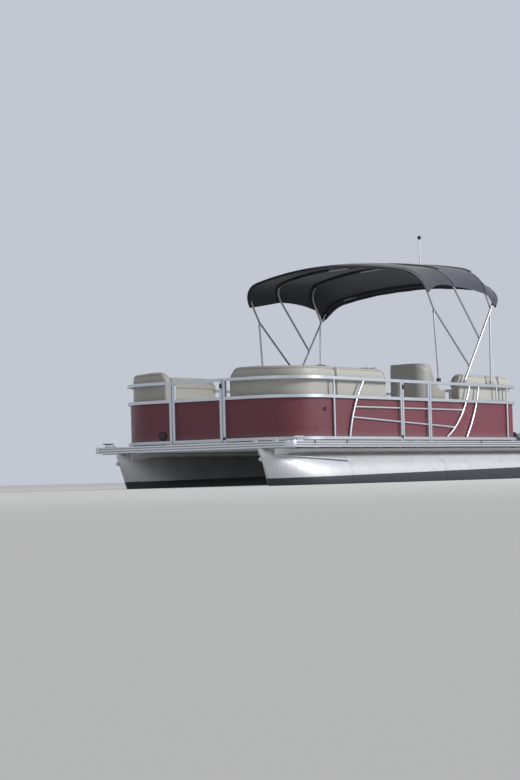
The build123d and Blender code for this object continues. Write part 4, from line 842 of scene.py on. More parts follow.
def tall_loop(depth, height, lining):
    """A slim upright pad, with a sewn line across its inner face where it lines the shell."""
    corners = [
        (0.0, 0.0, 0.006, False), (0.0, height, depth * 0.45, False),
        (depth, height, depth * 0.45, False),
    ]
    if lining:
        groove = height * 0.62
        corners += [
            (depth, groove + 0.01, 0.0, False), (depth - 0.010, groove, 0.0, True),
            (depth, groove - 0.01, 0.0, False),
        ]
    corners.append((depth, 0.0, 0.006, False))
    return rounded_loop(corners, 0.02)


def seated(chair, line):
    """A chair's own line as (station, side) points."""
    station, side, facing = chair[1:]
    return [(station - facing * x, side + facing * y) for x, y in line]


def powered(value, power):
    """A power of a number that keeps its sign."""
    return abs(value) ** power * (1 if value > 0 else -1)


# The seat pad's rings from its foot up over its crown, as (inset, height, sewn)
SEAT_RINGS = (
    (0.010, 0.0, True), (0.0, 0.008, False), (0.0, 0.030, False), (0.0, 0.052, False),
    (0.004, 0.070, False), (0.012, 0.084, False), (0.024, 0.090, False),
    (0.036, 0.089, False), (0.044, 0.080, True), (0.052, 0.090, False),
    (0.070, 0.097, False), (0.090, 0.101, False), (0.110, 0.103, False),
    (0.130, 0.104, False), (0.150, 0.105, False),
)
SEAT_MIDDLE = 0.045
SEAT_REACH_X = 0.191
SEAT_REACH_Y = 0.184
SEAT_POINTS = 64
PIPED_RING = 8

for chair in CHAIRS:
    name, station, side, facing = chair
    # The lining's two plan lines stand closer at the arms than at the back
    outer_line, inner_line = chair_line(0.030, 0.226), chair_line(0.072, 0.226, 0.038)
    tall = CHAIR_BACK_UP + 0.008 - SEAT_UP
    pad = band(
        f"{name}_lining", seated(chair, outer_line), seated(chair, inner_line), 1, SEAT_UP,
        tall_loop(0.05, tall, True), CREAM, name, 0.008, 0.018,
        [(chair_top(x, y) + 0.008 - SEAT_UP) / tall for x, y in outer_line],
        (0.285, 0.5, 0.715),
    )
    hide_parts(f"{name}_cushion")
    # The wrap is in three: cream arms, and grey round the back
    tall = CHAIR_BACK_UP - WRAP_FOOT
    for word, first, last, material in (
        ("left_arm", 0, 9, CREAM), ("back", 8, 35, GREY), ("right_arm", 34, 43, CREAM),
    ):
        outer_line = chair_line(-0.005, 0.255)[first:last]
        inner_line = chair_line(0.0285, 0.255)[first:last]
        if word == "back":
            for line in (outer_line, inner_line):
                for k in (0, -1):
                    line[k] = (line[k][0] - 0.004, line[k][1])
        band(
            f"{name}_{word}", seated(chair, outer_line), seated(chair, inner_line), 1, WRAP_FOOT,
            tall_loop(0.034, tall, False), material, name, 0.006, 0.010,
            [(chair_top(x, y) - WRAP_FOOT) / tall for x, y in outer_line],
        )
    rings = []
    for inset, height, sewn in SEAT_RINGS:
        ring = []
        for k in range(SEAT_POINTS):
            angle = 2 * pi * k / SEAT_POINTS
            power = 0.42 if inset < 0.1 else 0.6
            x = SEAT_MIDDLE + (SEAT_REACH_X - inset) * powered(cos(angle), power)
            y = (SEAT_REACH_Y - inset) * powered(sin(angle), power)
            fall = 0.012 * max(0.0, (x - 0.12) / 0.116) ** 2 * (height / 0.1)
            ring.append(at(station - facing * x, side + facing * y, SEAT_UP + height - fall))
        rings.append(ring)
    flags = [[sewn] * SEAT_POINTS for inset, height, sewn in SEAT_RINGS]
    pad = stuff(f"{name}_seat", rings, flags, (), CREAM, name, 0.012)
    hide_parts(f"{name}_cushion")

swell()

# Piping in the sewn lines
for body in ("boat", "helm_chair", "guest_chair"):
    welts = Build()
    for piece, line, rides in SEAMS:
        if rides == body:
            welts.tube([piece.data.vertices[k].co.copy() for k in line[2:-2]], 0.0042, 6)
    for pad, cap, rides in STUFFED:
        if rides == body and pad.name.endswith("_seat"):
            first = PIPED_RING * SEAT_POINTS
            ring = [vert.co.copy() for vert in pad.data.vertices[first:first + SEAT_POINTS]]
            welts.tube(ring, 0.0042, 6, closed=True)
    welts.finish(f"{body}_piping", PIPING, body, 60)


# Folding top. Each bow: shoulder as (station, up), its leg's direction, the cloth's room over
# the tube and the hem's drop below the shoulder
BOW_HALF = 1.210
SHOULDER_RADIUS = 0.2904
CROWN_RADIUS = 3.993
CROWN_RISE = 0.3025
BOWS = {
    "front_bow": ((2.771, 1.886), (-0.5628, 0.8266), 0.0172, 0.25),
    "mid_bow": ((3.331, 1.950), (-0.7126, 0.7016), 0.024, 0.25),
    "aft_bow": ((4.100, 1.982), (-0.5701, 0.8216), 0.024, 0.31),
    "main_bow": ((4.574, 1.819), (0.6155, 0.7881), 0.0185, 0.26),
}
ACROSS = 96


def filleted(corners, radii, step=0.01):
    """Points along a polyline with rounded corners."""
    points = [Vector(corners[0])]
    for k, radius in enumerate(radii, start=1):
        before, here, after = (Vector(corners[k + j]) for j in (-1, 0, 1))
        back, on = (before - here).normalized(), (after - here).normalized()
        half = back.angle(on) / 2
        reach = radius / tan(half)
        centre = here + (back + on).normalized() * radius / sin(half)
        start, end = here + back * reach, here + on * reach
        first, last = start - centre, end - centre
        swing = first.angle_signed(last)
        bends = max(4, ceil(abs(swing) * radius / step))
        for b in range(bends + 1):
            angle = -swing * b / bends
            points.append(centre + Vector((
                first.x * cos(angle) - first.y * sin(angle),
                first.x * sin(angle) + first.y * cos(angle),
            )))
    points.append(Vector(corners[-1]))
    return points


def spaced(points, count, start=0.0, end=1.0):
    """count + 1 points at even distances between two shares of a line's length."""
    reach = [0.0]
    for a, b in zip(points, points[1:]):
        reach.append(reach[-1] + (b - a).length)
    made, k = [], 0
    for n in range(count + 1):
        want = reach[-1] * (start + (end - start) * n / count)
        while k < len(points) - 2 and reach[k + 1] < want:
            k += 1
        span = reach[k + 1] - reach[k]
        made.append(points[k].lerp(points[k + 1], min(max((want - reach[k]) / span, 0), 1)))
    return made


def bow_arch(bow, off, hem, shift=(0.0, 0.0)):
    """A bow's outline from hem to hem, moved outwards, as row frame points."""
    shoulder, lean, room, drop = BOWS[bow]
    slope = CROWN_RISE / BOW_HALF
    half = BOW_HALF + off
    top = CROWN_RISE + off * hypot(1, slope)
    side_rise = top - half * slope
    flat = filleted(
        [(half, -hem), (half, side_rise), (0, top), (-half, side_rise), (-half, -hem)],
        [SHOULDER_RADIUS + off, CROWN_RADIUS + off, SHOULDER_RADIUS + off],
    )
    return [
        at(shoulder[0] + lean[0] * p.y + shift[0], p.x, shoulder[1] + lean[1] * p.y + shift[1])
        for p in flat
    ]


# The cloth's key lines from front hem to rear hem: bow, and how far the line lies off it
KEYS = (
    ("front_bow", (-0.046, -0.006)), ("front_bow", (0, 0)), ("mid_bow", (0, 0)),
    ("aft_bow", (0, 0)), ("main_bow", (0, 0)), ("main_bow", (0.058, -0.024)),
)
# Each bay: its rows, rise of the cloth's crown, tuck of its sides, cut of the two side hems
BAYS = (
    (3, 0, 0, 0, 0), (18, 0.026, 0.018, 0.075, 0.0), (20, 0.024, 0.014, 0.035, 0.03),
    (16, 0.012, 0.012, 0.03, 0.03), (4, 0, 0, 0, 0),
)
# About the length of a bow's arch, by which the cuts are shared out
ARCH_LENGTH = 3.2
key_lines = [bow_arch(bow, BOWS[bow][2], BOWS[bow][3], shift) for bow, shift in KEYS]
cloth_rows = []
for bay, (steps, crown, tuck, port_cut, starboard_cut) in enumerate(BAYS):
    for step in range(steps + (bay == len(BAYS) - 1)):
        t = step / steps
        bulge = 4 * t * (1 - t)
        start, end = port_cut * bulge / ARCH_LENGTH, 1 - starboard_cut * bulge / ARCH_LENGTH
        low = spaced(key_lines[bay], ACROSS, start, end)
        high = spaced(key_lines[bay + 1], ACROSS, start, end)
        row = [a.lerp(b, t) for a, b in zip(low, high)]
        lifted = []
        for k, point in enumerate(row):
            across = row[min(k + 1, ACROSS)] - row[max(k - 1, 0)]
            normal = across.cross(high[k] - low[k]).normalized()
            if normal.z * 0.3 + normal.y * point.y < 0:
                normal = -normal
            share = abs(2 * k / ACROSS - 1)
            flat = max(0.0, 1 - (share / 0.72) ** 3)
            lift = (crown * flat - tuck * max(0.0, share - 0.72) / 0.28) * bulge
            ripple = 0.004 * sin(11 * share + 3 * bay) * sin(pi * t) * (0.4 + share)
            lifted.append(point + normal * (lift + ripple * min(crown * 60, 1)))
        cloth_rows.append(lifted)


def cloth_piece(name, rows, thick, body="boat"):
    """An open sheet over rows of points, thickened."""
    mesh = bmesh.new()
    grid = [[mesh.verts.new(point) for point in row] for row in rows]
    for low, high in zip(grid, grid[1:]):
        for k in range(len(low) - 1):
            mesh.faces.new((low[k], low[k + 1], high[k + 1], high[k]))
    bmesh.ops.recalc_face_normals(mesh, faces=mesh.faces[:])
    if sum(face.normal.z * face.calc_area() for face in mesh.faces) < 0:
        bmesh.ops.reverse_faces(mesh, faces=mesh.faces[:])
    piece = new_piece(name, mesh, CLOTH)
    solid = piece.modifiers.new("thickness", "SOLIDIFY")
    solid.thickness = thick
    solid.offset = 0.0
    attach(piece, body)
    return piece


canopy = cloth_piece("canopy_sheet", cloth_rows, 0.0022)
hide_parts("canopy")

# Hems: doubled cloth along the front, the rear and both sides
HEM = 0.006
hems = [
    cloth_piece("canopy_front_hem", cloth_rows[:3], HEM),
    cloth_piece("canopy_rear_hem", cloth_rows[-4:], HEM),
    cloth_piece("canopy_port_hem", [row[:2] for row in cloth_rows], HEM),
    cloth_piece("canopy_starboard_hem", [row[-2:] for row in cloth_rows], HEM),
]

# Pockets under the cloth hold the bows, with a gap where the tube shows: name, bow, the body it
# goes with, and the shares of the arch that it covers. The third one under the aft bow, which
# would meet the light's pole, goes with the cloth
POCKETS = (
    ("front_bow_pocket_1", "front_bow", "front_bow", 0.03, 0.97),
    ("mid_bow_pocket_1", "mid_bow", "mid_bow", 0.10, 0.51),
    ("mid_bow_pocket_2", "mid_bow", "mid_bow", 0.61, 0.90),
    ("aft_bow_pocket_1", "aft_bow", "aft_bow", 0.12, 0.46),
    ("aft_bow_pocket_2", "aft_bow", "aft_bow", 0.625, 0.88),
    ("aft_bow_pocket_3", "aft_bow", "boat", 0.46, 0.50),
    ("main_bow_pocket_1", "main_bow", "boat", 0.03, 0.97),
)
POCKET_RADIUS = 0.0155
pockets = []
for name, bow, body, start, end in POCKETS:
    lean, room, drop = BOWS[bow][1:]
    square = Vector((lean[1], 0, lean[0]))
    line = spaced(bow_arch(bow, 0.0, drop), 60, start, end)
    cover = spaced(bow_arch(bow, room - 0.003, drop), 60, start, end)
    rows = []
    for point, above in zip(line, cover):
        out = (above - point).normalized()
        row = [above + square * -0.03]
        for angle in (-1.55, -0.8, 0.0, 0.8, 1.55):
            wide = POCKET_RADIUS + 0.006 * max(0.0, abs(angle) - 1.4)
            row.append(point - out * cos(angle) * POCKET_RADIUS + square * sin(angle) * wide)
        rows.append(row + [above + square * 0.03])
    pockets.append(cloth_piece(name, rows, 0.0015, body))

# The rolled storage sleeve behind the rear bow
ROLL_STEPS = 110
roll_line = spaced(bow_arch("main_bow", 0.0, 0.22, (0.052, -0.022)), ROLL_STEPS)
roll_rows = []
for k, point in enumerate(roll_line):
    along = (roll_line[min(k + 1, ROLL_STEPS)] - roll_line[max(k - 1, 0)]).normalized()
    across = along.cross(Vector((0.788, 0, 0.6155))).normalized()
    other = along.cross(across)
    slim = 0.45 + 0.55 * min(1.0, min(k, ROLL_STEPS - k) / 5)
    row = []
    for s in range(17):
        angle = 2 * pi * s / 16
        radius = slim * (0.0235 + 0.0022 * sin(3 * angle + 0.21 * k) + 0.0016 * sin(0.55 * k))
        row.append(point + (across * cos(angle) + other * sin(angle)) * radius)
    roll_rows.append(row)
roll = cloth_piece("storage_sleeve", roll_rows, 0.002)

# Doubled cloth over each bow: name, body, middle row, and its first and last points across
TAPES = (
    ("front_bow_tape", "front_bow", 3, 0, 97), ("mid_bow_tape", "mid_bow", 21, 0, 97),
    ("aft_bow_port_tape", "aft_bow", 41, 0, 44), ("aft_bow_starboard_tape", "aft_bow", 41, 47, 97),
    ("main_bow_tape", "boat", 57, 0, 97),
)
tapes = []
for name, body, row, start, end in TAPES:
    rows = [line[start:end] for line in cloth_rows[row - 1:row + 2]]
    tapes.append(cloth_piece(name, rows, 0.0045, body))

# The cloth that goes with no folding bow gets mesh data of its own
for piece in [canopy] + hems + [roll, tapes[-1]] + pockets[-2:]:
    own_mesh(piece)


# Small fittings
RAIL = 0.032
RAIL_TOP = 0.672
AHEAD = Vector((1, 0, 0))
PORT = Vector((0, 1, 0))
UP = Vector((0, 0, 1))


def frame_of(along, outward, up):
    """A matrix that turns a fitting's own three axes to these directions."""
    return Matrix((along, outward, up)).transposed()


def own_axes(origin, turned):
    """A function from a fitting's own coordinates to a point."""
    return lambda *offset: origin + turned @ Vector(offset)


def touch(node, start, direction):
    """Where a straight line from start first meets a CAD piece, and the face's direction."""
    turned = NODES[node].matrix_world
    back = turned.inverted()
    heading = (back.to_3x3() @ Vector(direction)).normalized()
    hit, place, normal = NODES[node].ray_cast(back @ Vector(start), heading)[:3]
    if not hit:
        raise ValueError(f"nothing of {node} lies that way")
    return turned @ place, (turned.to_3x3() @ normal).normalized()


# Gates: body, station and side of the latch and of the rubber stop, outwards, and the side of
# the latch that its post stands on
GATES = (
    ("bow_gate", (FENCE_FRONT, 0.310), (FENCE_FRONT, 0.346), AHEAD, -1),
    ("side_gate", (2.285, FENCE_HALF), (2.249, FENCE_HALF), PORT, 1),
    ("stern_gate", (FENCE_AFT, -0.384), (FENCE_AFT, -0.345), -AHEAD, 1),
)
LATCH_UP = 0.592
STOP_UP = 0.048
stops = Build()
for body, latch_place, stop_place, outward, toward in GATES:
    turned = frame_of(outward.cross(UP), outward, UP)
    here = own_axes(at(*latch_place, LATCH_UP), turned)
    inward = -outward
    face = -RAIL - 0.014
    latch = Build()
    latch.block(here(0, face + 0.007, 0), (0.028, 0.015, 0.074), 0.003, turned)
    latch.block(here(toward * 0.020, face + 0.004, 0.010), (0.046, 0.006, 0.015), 0.002, turned)
    latch.lathe(here(0, face, -0.012), inward,
                ((0.008, 0.0), (0.008, 0.005), (0.005, 0.012), (0.010, 0.018), (0.010, 0.024),
                 (0.004, 0.027)), 20)
    latch.block(here(0, 0.003, 0), (0.022, 0.007, 0.050), 0.002, turned)
    latch.lathe(here(0, 0.005, 0.006), outward, ((0.008, 0.0), (0.008, 0.006), (0.004, 0.010)), 16)
    for up in (-0.030, 0.030):
        latch.lathe(here(0, face, up), inward, ((0.004, 0.0), (0.004, 0.002), (0.002, 0.003)), 10)
    latch.finish(f"{body}_latch", BLACK, body)
    stops.block(at(*stop_place, STOP_UP) + outward * 0.006, (0.020, 0.013, 0.028), 0.004, turned)
stops.finish("gate_stops", BLACK, "boat")

# Rivets that hold the sheets to the fence's tubes
rivets = Build()
for sign in (1, -1):
    for up in (0.030, 0.462):
        for station in between(0.80, 2.48, 7) + between(2.95, 4.87, 8):
            rivets.lathe(at(station, sign * (FENCE_HALF - RAIL - 0.004), up), PORT * -sign,
                         ((0.0055, -0.001), (0.0055, 0.0012), (0.003, 0.0028)), 10)
rivets.finish("sheet_rivets", MILL, "boat", 30)


def round_light(name, place, outward, radius, lens):
    """A round flush lamp: a dark bezel with a lens in it."""
    bezel = Build()
    bezel.lathe(place, outward, (
        (radius * 0.72, 0.0005), (radius * 0.78, 0.010), (radius * 0.93, 0.012),
        (radius, 0.008), (radius, -0.001),
    ), 32)
    bezel.finish(f"{name}_bezel", BLACK, "boat")
    glass = Build()
    glass.lathe(place, outward, (
        (radius * 0.76, 0.004), (radius * 0.70, 0.0095), (radius * 0.45, 0.0125),
        (radius * 0.05, 0.0135),
    ), 32)
    glass.finish(f"{name}_lens", lens, "boat")


place = touch("fence_skins", at(-0.5, -0.483, 0.097), -AHEAD)[0]
round_light("docking_light", place, AHEAD, 0.048, SMOKED)
for sign, word, lens in ((1, "port", RED_LENS), (-1, "starboard", GREEN_LENS)):
    place, outward = touch("fence_skins", at(0.767, sign * 2.0, 0.33), PORT * -sign)
    round_light(f"{word}_side_light", place, outward, 0.020, lens)

# Buttons for the mooring cover along the top rail
snaps = Build()
BUTTON_STATIONS = (0.95, 1.45, 1.95, 3.35, 3.95, 4.20, 4.62)
spots = [(station, sign * (FENCE_HALF - RAIL / 2)) for sign in (1, -1) for station in BUTTON_STATIONS]
spots += [(FENCE_FRONT + RAIL / 2, -0.6), (FENCE_FRONT + RAIL / 2, 0.6), (FENCE_AFT - RAIL / 2, 0.8)]
for spot in spots:
    snaps.lathe(at(*spot, RAIL_TOP), UP, ((0.008, -0.001), (0.008, 0.003), (0.005, 0.006)), 12)
snaps.finish("cover_buttons", BLACK, "boat")

# Ring pins in the top's feet
FOOT_FACE = 0.0128
FOOT_UP = 0.694
pins = Build()
for sign in (1, -1):
    for station in (3.700, 4.330):
        pins.lathe(at(station, sign * (BOW_HALF + FOOT_FACE), FOOT_UP), PORT * sign,
                   ((0.0065, -0.001), (0.0065, 0.003), (0.004, 0.006)), 12)
        inner = at(station, sign * (BOW_HALF - FOOT_FACE), FOOT_UP)
        pins.lathe(inner, PORT * -sign, ((0.0045, -0.001), (0.0045, 0.010), (0.002, 0.012)), 12)
        hung = inner - PORT * (sign * 0.008) - UP * 0.012
        pins.tube(circle(hung, UP, AHEAD, 0.012, 20), 0.0012, 6, closed=True)
pins.finish("foot_pins", BRIGHT, "boat")

# A slim rod clipped to the rail abaft the port rear strut
ROD_STATION = 4.40
rod = Build()
rod.tube([at(ROD_STATION, BOW_HALF, RAIL_TOP + 0.04 * k) for k in range(9)], 0.004)
rod.lathe(at(ROD_STATION, BOW_HALF, RAIL_TOP - 0.001), UP,
          ((0.013, 0.0), (0.013, 0.006), (0.007, 0.010), (0.007, 0.022)), 16)
rod.finish("rail_rod", BRIGHT, "boat")

# Rub rail: caps at its corners, as (outwards, up) from the corner's centre, and hooks below it
CAP = ((0.0805, -0.0655), (0.0822, -0.060), (0.0822, -0.004), (0.0805, 0.0018), (0.060, 0.0024),
       (0.060, 0.0004))
CORNER_SIDE = 1.215
CORNERS = ((0.080, -1), (6.220, 1))
caps = Build()
for sign in (1, -1):
    for corner, aft in CORNERS:
        caps.rings([
            [
                at(corner + aft * out * cos(radians(angle)),
                   sign * (CORNER_SIDE + out * sin(radians(angle))), up)
                for out, up in CAP
            ]
            for angle in between(-8, 98, 14, 1)
        ])
caps.finish("rub_rail_caps", BRIGHT, "boat", 25)
hooks = Build()
for sign in (1, -1):
    for station in (0.42, 1.02, 3.90):
        start = at(station, sign * 1.2945, -0.010)
        hooks.block(start, (0.020, 0.004, 0.022), 0.001)
        hooks.tube([start + Vector((0, sign * out, up)) for out, up in (
            (0.0015, -0.004), (0.0025, -0.014), (0.0015, -0.024))], 0.002)
hooks.finish("rail_hooks", BLACK, "boat")

# Deck: chocks at the bow, screws through the cleats and the deck's screws
fittings = Build()
for side in (0.80, 1.06, -0.80, -1.06):
    fittings.block(at(0.060, side, 0.004), (0.030, 0.055, 0.009), 0.003)
    fittings.block(at(0.060, side, 0.012), (0.014, 0.030, 0.010), 0.003)
for station in (0.157, 0.243, 6.097, 6.183):
    for side in (1.250, -1.250):
        fittings.lathe(at(station, side, 0.008), UP,
                       ((0.007, -0.0005), (0.007, 0.002), (0.004, 0.004)), 12)
for k in range(9):
    for side in (1.16, 0.93, 0.70, 0.46, -0.46, -0.70, -0.93, -1.16):
        station = 5.02 + 0.154 * k if k else 0.10
        ladder = -1.05 < side < -0.65 and station > 5.3
        well = abs(side) < 0.5 and station > 5.6
        if not ladder and not well:
            fittings.lathe(at(station, side, 0.0), UP,
                           ((0.0060, -0.0005), (0.0055, 0.001), (0.003, 0.0018)), 10)
fittings.finish("deck_fittings", MILL, "boat")

# Helm. The dash slopes from its low edge to its high edge, as (station, up)
WHEEL_SIDE = -0.560
GAUGE_SHARE = 0.815
DASH_LOW = Vector((3.540, 0.700))
DASH_HIGH = Vector((3.280, 0.865))
slope = (DASH_HIGH - DASH_LOW).normalized()
DASH_ALONG = Vector((-slope.x, 0, slope.y))
DASH_OUT = Vector((-slope.y, 0, -slope.x))
DASH = frame_of(-PORT, DASH_ALONG, DASH_OUT)


def on_dash(side, share, out=0.0):
    """A point on the dash by side and by share of the way up its slope."""
    spot = DASH_LOW.lerp(DASH_HIGH, share)
    return at(spot.x, side, spot.y) + DASH_OUT * out


dash = Build()
dash.block(on_dash(-0.600, GAUGE_SHARE, 0.003), (0.46, 0.104, 0.010), 0.004, DASH)
dash.block(on_dash(-0.955, 0.50, 0.003), (0.20, 0.20, 0.008), 0.004, DASH)
brow = []
for k in range(21):
    foot = own_axes(on_dash(-0.375 - 0.45 * k / 20, 0.985), DASH)
    lift = 0.040 * (1 - (2 * k / 20 - 1) ** 6)
    brow.append([foot(0, 0, 0), foot(0, -0.028, lift + 0.002), foot(0, -0.022, lift + 0.008),
                 foot(0, 0.014, 0.004)])
dash.rings(brow)
dash.lathe(on_dash(WHEEL_SIDE, 0.5), DASH_OUT,
           ((0.060, 0.0005), (0.058, 0.006), (0.040, 0.010), (0.0345, 0.009), (0.0345, 0.0005)), 32)
dash.finish("dash_panels", BLACK, "boat")
screen_face = Build()
screen_face.block(on_dash(-0.955, 0.62, 0.0075), (0.155, 0.098, 0.004), 0.0015, DASH)
screen_face.finish("dash_display", MATERIALS["motor_black"], "boat")

# Gauges: side and radius
bezels = Build()
dial_mesh = bmesh.new()
dial_uv = dial_mesh.loops.layers.uv.new("dial")
for side, radius in ((-0.435, 0.034), (-0.530, 0.043), (-0.640, 0.043), (-0.745, 0.034)):
    centre = on_dash(side, GAUGE_SHARE, 0.008)
    bezels.lathe(centre, DASH_OUT, (
        (radius * 0.86, 0.0), (radius * 0.86, 0.007), (radius * 0.96, 0.008),
        (radius, 0.005), (radius, -0.001),
    ), 32)
    on_face = own_axes(centre, DASH)
    lean = radians(200 + 900 * (side + 0.5))
    needle = radius * 0.62
    bezels.tube([on_face(0, 0, 0.004), on_face(cos(lean) * needle, sin(lean) * needle, 0.004)],
                0.0010, 6)
    spots = circle(Vector((0, 0)), Vector((1, 0)), Vector((0, 1)), 1.0, 32)
    face = dial_mesh.faces.new(
        [dial_mesh.verts.new(on_face(*(spot * radius * 0.87), 0.002)) for spot in spots])
    for loop, spot in zip(face.loops, spots):
        loop[dial_uv].uv = spot * 0.5 + Vector((0.5, 0.5))
bezels.finish("gauge_bezels", BRIGHT, "boat")
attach(new_piece("gauge_dials", dial_mesh, DIAL), "boat")

switches = Build()
for k in range(6):
    switches.block(on_dash(-0.880 - 0.030 * k, 0.245, 0.010), (0.021, 0.036, 0.008), 0.002, DASH)
switches.finish("dash_switches", MOTOR_GREY, "boat")
for side, word in ((-0.36, "key"), (-0.83, "horn")):
    knob = Build()
    knob.lathe(on_dash(side, 0.42), DASH_OUT,
               ((0.017, -0.001), (0.017, 0.004), (0.012, 0.006), (0.012, 0.012), (0.006, 0.014)), 20)
    knob.finish(f"dash_{word}_knob", BRIGHT, "boat")

# Wheel: a stitched grip and a hub cap
WHEEL_RADIUS = 0.175
wheel_mid = on_dash(WHEEL_SIDE, 0.5, 0.0953)
on_wheel = own_axes(wheel_mid, DASH)
grip = Build()
for k in range(9):
    turns = [radians(angle) for angle in between(5 + 40 * k, 35 + 40 * k, 8, 1)]
    grip.tube([on_wheel(cos(turn) * WHEEL_RADIUS, sin(turn) * WHEEL_RADIUS, 0) for turn in turns],
              0.0142, 14)
grip.lathe(wheel_mid + DASH_OUT * 0.012, DASH_OUT,
           ((0.034, -0.006), (0.034, 0.004), (0.028, 0.009), (0.006, 0.011)), 28)
grip.finish("wheel_grip", BLACK, "steering_wheel", 35)

# Throttle on the console's inner side
throttle = Build()
base = at(3.42, -0.320, 0.655)
throttle.block(base + PORT * 0.011, (0.12, 0.024, 0.15), 0.008)
throttle.lathe(base + Vector((0, 0.022, 0.02)), PORT,
               ((0.036, -0.001), (0.036, 0.008), (0.026, 0.014), (0.014, 0.026)), 28)
lever = [base + Vector(spot) for spot in ((0, 0.044, 0.02), (0.02, 0.050, 0.08),
                                          (0.034, 0.054, 0.13), (0.040, 0.054, 0.165))]
throttle.tube(lever, 0.007, 12)
throttle.lathe(lever[-1] - UP * 0.012, (0.2, 0, 1),
               ((0.007, 0), (0.016, 0.008), (0.020, 0.028), (0.017, 0.046), (0.007, 0.054)), 20)
throttle.finish("throttle", BLACK, "boat")

# A low tinted screen with a trimmed edge, and cup holders
CONSOLE_TOP = 0.8765
screen_rings = []
for k in range(25):
    t = k / 24
    station = 3.115 - 0.020 * (1 - (2 * t - 1) ** 4)
    rise = 0.052 * (1 - (2 * t - 1) ** 8) + 0.004
    foot = at(station, -0.350 - 0.75 * t, CONSOLE_TOP)
    head = at(station + 0.45 * rise, -0.350 - 0.75 * t, CONSOLE_TOP + rise)
    screen_rings.append([foot, head, head - AHEAD * 0.005, foot - AHEAD * 0.005])
screen = Build()
screen.rings(screen_rings)
screen.finish("tinted_screen", SMOKED, "boat")
edge_trim = Build()
edge_trim.tube([ring[1] - AHEAD * 0.0025 for ring in screen_rings], 0.0045)
edge_trim.tube([ring[0] - AHEAD * 0.0025 + UP * 0.002 for ring in screen_rings], 0.006)
edge_trim.finish("screen_trim", BLACK, "boat")
holders, wells = Build(), Build()
for side in (-0.42, -1.03):
    centre = at(3.200, side, 0.8708)
    holders.lathe(centre, UP, (
        (0.038, 0.001), (0.038, 0.007), (0.044, 0.008), (0.048, 0.004), (0.048, -0.002),
    ), 32)
    wells.lathe(centre, UP, ((0.0385, 0.0), (0.0385, 0.0015), (0.004, 0.0016)), 32)
holders.finish("cup_holder_rims", BRIGHT, "boat")
wells.finish("cup_holder_wells", BLACK, "boat")

# The console's door and its pulls, on the leaning rear face
DOOR_LEAN = Vector((-0.02, 0, 0.55)).normalized()
DOOR = frame_of(PORT, DOOR_LEAN, PORT.cross(DOOR_LEAN))


def on_door(side, up, out):
    """A point on the console's rear face."""
    return at(3.49 + 0.02 * up / 0.55, side, up) + Vector((-DOOR_LEAN.z, 0, DOOR_LEAN.x)) * out


door = Build()
door.block(on_door(-0.725, 0.30, 0.004), (0.50, 0.38, 0.010), 0.004, DOOR)
door.finish("console_door", MATERIALS["console_gelcoat"], "boat")
pull = Build()
pull.block(on_door(-0.535, 0.40, 0.011), (0.05, 0.022, 0.008), 0.003, DOOR)
for side in (-0.85, -0.60):
    pull.block(on_door(side, 0.118, 0.010), (0.05, 0.016, 0.006), 0.002, DOOR)
pull.finish("console_door_pull", BLACK, "boat")

# Louvres and pulls in the couch bases' inner faces: station, and the side they are on
vents = Build()
for station, sign in ((1.45, 1), (1.95, 1), (1.45, -1), (4.15, 1)):
    face, out = touch("couch_bases", at(station, 0.0, 0.18), PORT * sign)
    vents.block(face + out * 0.0015, (0.19, 0.005, 0.105), 0.0015)
    turned = Matrix.Rotation(radians(28) * sign, 3, "X")
    for row in range(5):
        vents.block(face + out * 0.005 + UP * (0.032 - 0.016 * row), (0.165, 0.010, 0.003),
                    0.001, turned)
vents.finish("base_louvres", BLACK, "boat")
pulls = Build()
for station, sign in ((1.70, 1), (0.98, 1), (1.70, -1), (0.98, -1), (4.45, 1)):
    face, out = touch("couch_bases", at(station, 0.0, 0.262), PORT * sign)
    pulls.block(face + out * 0.003, (0.070, 0.007, 0.018), 0.002)
pulls.finish("base_pulls", MILL, "boat")

# Chair hardware: a lever under each seat and a collar round each pedestal
collars = Build()
for name, station, side, facing in CHAIRS:
    levers = Build()
    start = at(station - facing * 0.03, side + facing * 0.20, 0.366)
    out = PORT * facing
    knob = start + AHEAD * (facing * 0.012)
    levers.block(start, (0.05, 0.10, 0.012), 0.003)
    levers.tube([start + out * 0.03, start + out * 0.065, knob + out * 0.10], 0.005)
    levers.lathe(knob + out * 0.095, out,
                 ((0.006, 0), (0.010, 0.006), (0.010, 0.026), (0.006, 0.032)), 14)
    levers.finish(f"{name}_lever", BLACK, name)
    collars.lathe(at(station, side, 0.0), UP, (
        (0.0375, 0.0135), (0.058, 0.014), (0.055, 0.026), (0.042, 0.040), (0.0385, 0.060),
        (0.0375, 0.060),
    ), 32)
    for place in circle(at(station, side, 0.014), AHEAD, PORT, 0.12, 6):
        collars.lathe(place, UP, ((0.009, -0.001), (0.009, 0.004), (0.005, 0.007)), 6)
collars.finish("pedestal_collars", MILL, "boat")

# Outboard, in its own directions: aft, side and up from the tilt tube as it rests, tilted up
TILT_REST = radians(62)
MOTOR_AFT = Vector((-cos(TILT_REST), 0, sin(TILT_REST)))
MOTOR_UP = Vector((sin(TILT_REST), 0, cos(TILT_REST)))
MOTOR = frame_of(MOTOR_AFT, PORT, MOTOR_UP)
motor = own_axes(at(6.330, 0.0, -0.070), MOTOR)

